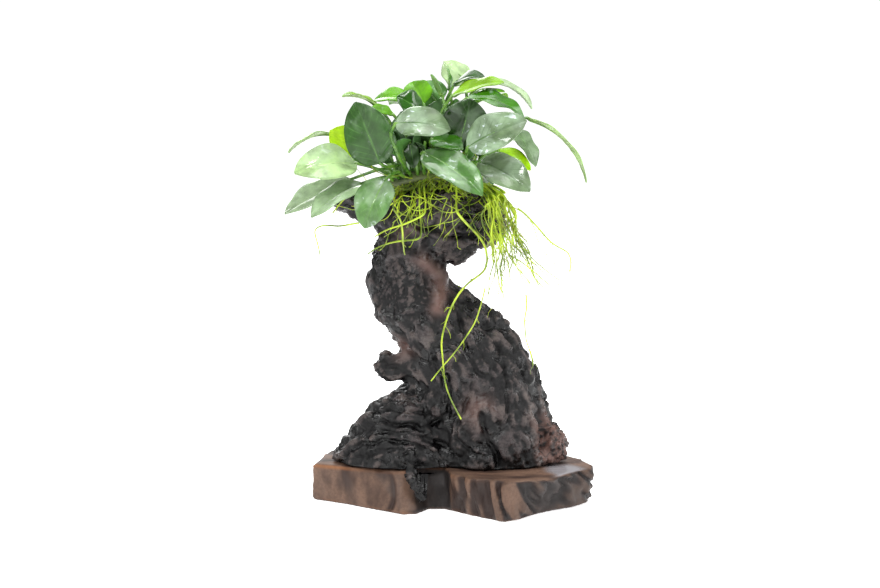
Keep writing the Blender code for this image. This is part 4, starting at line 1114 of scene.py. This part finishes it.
for inner_number, (along, aside, forward, height, length, width, turn, slot) in enumerate(INNER_LEAVES):
    foot = Vector(rhizome_line[int(along * (RHIZOME_STATIONS - 1))]) + Vector((0, 0, 2 * MM))
    blade_foot = foot + Vector((0.45 * aside, 0.45 * forward, 0.55 * height)) * MM
    tip = foot + Vector((aside, forward, height)) * MM
    reach = (tip - blade_foot).normalized() * length * MM
    sag = Vector((0, 0.06 * forward, -0.10 * length)) * MM
    stalk_shares = np.linspace(0, 1, STALK_RINGS)[:-1]
    blade_shares = np.linspace(0, 1, len(INNER_OUTLINE))
    inner_line = [foot.lerp(blade_foot, share) + Vector((0, 0, 0.5 * MM * share)) for share in stalk_shares]
    inner_line += [blade_foot + reach * share + sag * share * share * 2 for share in blade_shares]
    side = reach.normalized().cross(Vector((0.3 * turn, -1, 0.35))).normalized()
    side = Matrix.Rotation(turn, 3, reach.normalized()) @ side
    inner_widths = [np.array(side) * width * part * MM for part in INNER_OUTLINE]
    inner_line = [np.array(point) for point in inner_line]
    leaf_piece(f"leaf_inner_{inner_number + 1:02d}", slot, inner_line, inner_widths, 0.0)


# The roots: smooth yellow-green threads that grow from the rhizome. Single ones wander down the wood,
# a mat of them crosses the crown's front, and a thick bunch hangs free at the right with fine side roots.
ROOT_STEPS = 18
root_random = random.Random(19)

root_material, root_shader = blotched_material(
    "root_skin", 90.0, 3.0, ((0.11, 0.17, 0.008, 1), (0.44, 0.58, 0.03, 1)), (0.28, 0.45))
root_shader.inputs["Subsurface Weight"].default_value = 0.12
root_shader.inputs["Subsurface Scale"].default_value = 0.8 * MM


def threads_mesh(name, threads, sides_step):
    """One mesh of many round threads, each given as its points and its radii."""
    data = bpy.data.curves.new(name, "CURVE")
    data.dimensions = "3D"
    data.bevel_depth = 1.0
    data.bevel_resolution = sides_step
    data.use_fill_caps = True
    for points, radii in threads:
        spline = data.splines.new("POLY")
        spline.points.add(len(points) - 1)
        spline.points.foreach_set("co", np.concatenate([points, np.ones((len(points), 1))], axis=1).ravel())
        spline.points.foreach_set("radius", radii)
    holder = new_object(name, data)
    mesh = bpy.data.meshes.new_from_object(holder.evaluated_get(bpy.context.evaluated_depsgraph_get()))
    bpy.data.objects.remove(holder)
    mesh.name = name
    return mesh


def finish_roots(name, node, threads, sides_step=1):
    """Makes a piece of these threads, which stands for a CAD node."""
    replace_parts(add_piece(name, threads_mesh(name, threads, sides_step), [root_material]), node)


def wander(points, amount):
    """Adds a smooth sideways wander to a line of points."""
    phases = [root_random.uniform(0, 2 * math.pi) for _ in range(6)]
    share = np.linspace(0, 1, len(points))
    shift = np.stack([
        np.sin(2.1 * math.pi * share + phases[axis]) + 0.45 * np.sin(5.3 * math.pi * share + phases[axis + 3])
        for axis in range(3)], axis=1)
    shift -= shift[0]
    return points + amount * shift * np.minimum(1, 4 * share)[:, None]


def rootlets(points, count, length, radius, spread):
    """Fine side roots that leave a line of points and turn down."""
    found = []
    for _ in range(count):
        place = root_random.randrange(len(points) // 4, len(points) - 1)
        start = points[place]
        ahead = points[place + 1] - points[place]
        ahead = ahead / (np.linalg.norm(ahead) + 1e-9)
        side = np.array([root_random.gauss(0, 1), root_random.gauss(0, 0.5), root_random.gauss(-0.5, 0.7)])
        side /= np.linalg.norm(side)
        reach = length * root_random.uniform(0.5, 1.3)
        share = np.linspace(0, 1, 7)[:, None]
        line = start + reach * (share * (0.5 * ahead + spread * side) + share ** 2 * np.array([0, 0, -0.35]))
        found.append((wander(line, 0.05 * reach), np.linspace(radius, 0.4 * radius, 7)))
    return found


SINGLE_ROOTS = {
    # side roots, their length, how wide they spread, and whether a leader joins it to the rhizome
    "root_long_front": (16, 5 * MM, 0.8, True),
    "root_crossing": (6, 4 * MM, 0.8, False),
    "root_hanging_front": (1, 3 * MM, 0.6, True),
    "root_left_arc": (2, 4 * MM, 0.7, True),
    "root_left_arm": (1, 3 * MM, 0.6, False),
    "root_left_low": (1, 4 * MM, 0.7, True),
    "root_left_strand": (1, 3 * MM, 0.5, False),
    "root_right_far": (7, 7 * MM, 0.8, False),
    "root_right_hanging": (3, 5 * MM, 0.5, False),
}
ROOT_SLIMNESS = 0.8
ROOT_THINNEST = 0.15 * MM
ROOTLET_RADIUS = 0.18 * MM
ROOT_WANDER = 0.45 * MM
ROOT_SMOOTHINGS = 16
LEADER_STEPS = 7


def front_of_wood(x, z):
    """The driftwood's front at this place, or None beside it."""
    return wood_tree.ray_cast(Vector((x, cad_low.y - 20 * MM, z)), Vector((0, 1, 0)))[0]


def in_line(count):
    """The neighbour table of a line of points."""
    return np.clip(np.arange(count)[:, None] + np.array([[-1, 0, 1]]), 0, count - 1)


def leader_to(place):
    """A line from the rhizome down the front of the wood to the first point of a root."""
    start = rhizome_line[np.abs(rhizome_line[:, 0] - place[0]).argmin()] - np.array([0, 3 * MM, 1 * MM])
    line = []
    for share in np.linspace(0, 1, LEADER_STEPS)[:-1]:
        point = start * (1 - share) + place * share
        hit = front_of_wood(point[0], point[2])
        if hit is not None:
            point[1] = min(point[1], hit.y - 1.0 * MM)
        line.append(point)
    return np.array(line)


for root_node, (side_count, side_length, side_spread, led) in SINGLE_ROOTS.items():
    root_rings = rings_of(root_node, rhizome_middle, 6, CAP_REACH["root"])
    root_centres = np.array([ring.mean(axis=0) for ring in root_rings])
    root_girths = [girth(ring) for ring in root_rings]
    if led:
        leader = leader_to(root_centres[0])
        root_centres = np.concatenate([leader, root_centres])
        root_girths = [0.7 * root_girths[0]] * len(leader) + root_girths
    root_steps = 4 * len(root_centres)
    root_line = curve_through(root_centres, root_steps)
    root_line = wander(evened(root_line, in_line(len(root_line)), ROOT_SMOOTHINGS), ROOT_WANDER)
    root_places = np.linspace(0, len(root_girths) - 1, root_steps)
    root_radii = ROOT_SLIMNESS * np.interp(root_places, range(len(root_girths)), root_girths)
    root_radii = np.minimum(root_radii, ROOT_SLIMNESS * np.median(root_girths) * 1.3)
    root_threads = [(root_line, np.maximum(root_radii, ROOT_THINNEST))]
    root_threads += rootlets(root_line, side_count, side_length, ROOTLET_RADIUS, side_spread)
    finish_roots(root_node + "_thread", root_node, root_threads, 2)


# The bunch at the right falls in three ways, as shares of its CAD node's box: most strands drop and fan
# out, some sweep to the right tip, and a few fall straight down at its left edge.
BUNCH = (
    # strands, start left to right, start height, end left to right, end height, how late they turn aside
    (15, (0.04, 0.30), (0.84, 1.0), (0.12, 0.62), (0.04, 0.40), (1.0, 1.9)),
    (11, (0.08, 0.30), (0.84, 1.0), (0.50, 1.0), (-0.02, 0.14), (1.7, 2.7)),
    (7, (0.02, 0.14), (0.80, 0.98), (0.02, 0.24), (-0.18, 0.2), (1.0, 1.9)))
BUNCH_RADIUS = (0.28, 0.72)
BUNCH_SIDE_ROOTS = (5, 10)
bunch_low, bunch_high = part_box("root_bundle_right")
bunch_size = bunch_high - bunch_low
bunch_threads = []
for strands, start_x, start_z, end_x, end_z, lag in BUNCH:
    for _ in range(strands):
        depth = root_random.uniform(0.15, 0.85)
        start = np.array([root_random.uniform(*start_x), depth, root_random.uniform(*start_z)])
        end = np.array([
            root_random.uniform(*end_x), depth + root_random.uniform(-0.5, 0.4), root_random.uniform(*end_z)])
        share = np.linspace(0, 1, ROOT_STEPS)[:, None]
        down = share ** root_random.uniform(1.0, 1.5)
        aside = share ** root_random.uniform(*lag)
        line = start + (end - start) * np.concatenate([aside, share, down], axis=1)
        line = np.array(bunch_low) + line * np.array(bunch_size)
        crown_end = rhizome_line[-1 - root_random.randrange(12)] - np.array([0, 2 * MM, 1 * MM])
        over_lip = (crown_end + line[0]) / 2 + np.array([0, -2 * MM, 2.5 * MM])
        line = curve_through(np.concatenate([[crown_end, over_lip], line]), 2 * ROOT_STEPS)
        line = evened(line, in_line(len(line)), 4)
        line = wander(line, root_random.uniform(0.8, 2.2) * MM)
        thick = root_random.uniform(*BUNCH_RADIUS) * MM
        bunch_threads.append((line, np.linspace(thick, 0.4 * thick, len(line))))
        bunch_threads += rootlets(line, root_random.randrange(*BUNCH_SIDE_ROOTS), 8 * MM, 0.13 * MM, 0.9)
finish_roots("root_bundle_right_threads", "root_bundle_right", bunch_threads)


# The mat leaves the rhizome's whole underside, bends over the crown's front lip and creeps down and
# sideways over the wood, each thread at its own small height above it.
MAT_STRANDS = 62
FELT_STRANDS = 130
MAT_RADIUS = (0.2, 0.42)
mat_threads = []
for _ in range(MAT_STRANDS):
    start = rhizome_line[root_random.randrange(2, RHIZOME_STATIONS - 2)]
    x, y, z = start[0], start[1] - root_random.uniform(0, 3) * MM, start[2] - root_random.uniform(0, 3) * MM
    heading = -0.5 * math.pi + root_random.gauss(0, 1.0)
    bend = root_random.gauss(0, 0.2)
    stride = root_random.uniform(1.2, 2.0) * MM
    lift = root_random.uniform(0.4, 3.0) * MM
    line = [(x, y, z)]
    for step in range(root_random.randrange(12, 26)):
        x += stride * math.cos(heading)
        z += stride * math.sin(heading) * (1.0 if z > wood_high.z - 28 * MM else 0.4)
        hit = front_of_wood(x, z)
        if hit is None and z < wood_high.z - 8 * MM:
            break
        target = y - 0.8 * MM if hit is None else min(hit.y - lift, y + 1.2 * MM)
        y = max(target, y - 2.6 * MM)
        line.append((x, y, z))
        heading += bend + root_random.gauss(0, 0.10)
        heading += 0.05 * (-0.5 * math.pi - heading)
    if len(line) < 5:
        continue
    line = curve_through(line, 2 * len(line))
    line = wander(evened(line, in_line(len(line)), 4), 0.6 * MM)
    thick = root_random.uniform(*MAT_RADIUS) * MM
    mat_threads.append((line, np.linspace(thick, 0.45 * thick, len(line))))
    mat_threads += rootlets(line, root_random.randrange(0, 3), 4 * MM, 0.10 * MM, 0.8)
for _ in range(FELT_STRANDS):
    start = rhizome_line[root_random.randrange(1, RHIZOME_STATIONS - 1)] - np.array([0, 0, 1.5 * MM])
    end_x = start[0] + root_random.gauss(0, 4) * MM
    end_y = start[1] + root_random.uniform(-9, 7) * MM
    hit = wood_tree.ray_cast(Vector((end_x, end_y, cad_high.z)), Vector((0, 0, -1)))[0]
    if hit is None or hit.z < wood_high.z - 14 * MM:
        continue
    end = np.array([end_x, end_y, hit.z - 0.4 * MM])
    share = np.linspace(0, 1, 9)[:, None]
    line = start + (end - start) * np.concatenate([share ** 0.7, share ** 0.6, share ** 1.6], axis=1)
    thick = root_random.uniform(*MAT_RADIUS) * MM
    mat_threads.append((wander(line, 0.7 * MM), np.linspace(thick, 0.6 * thick, 9)))
finish_roots("root_mat_front_threads", "root_mat_front", mat_threads)
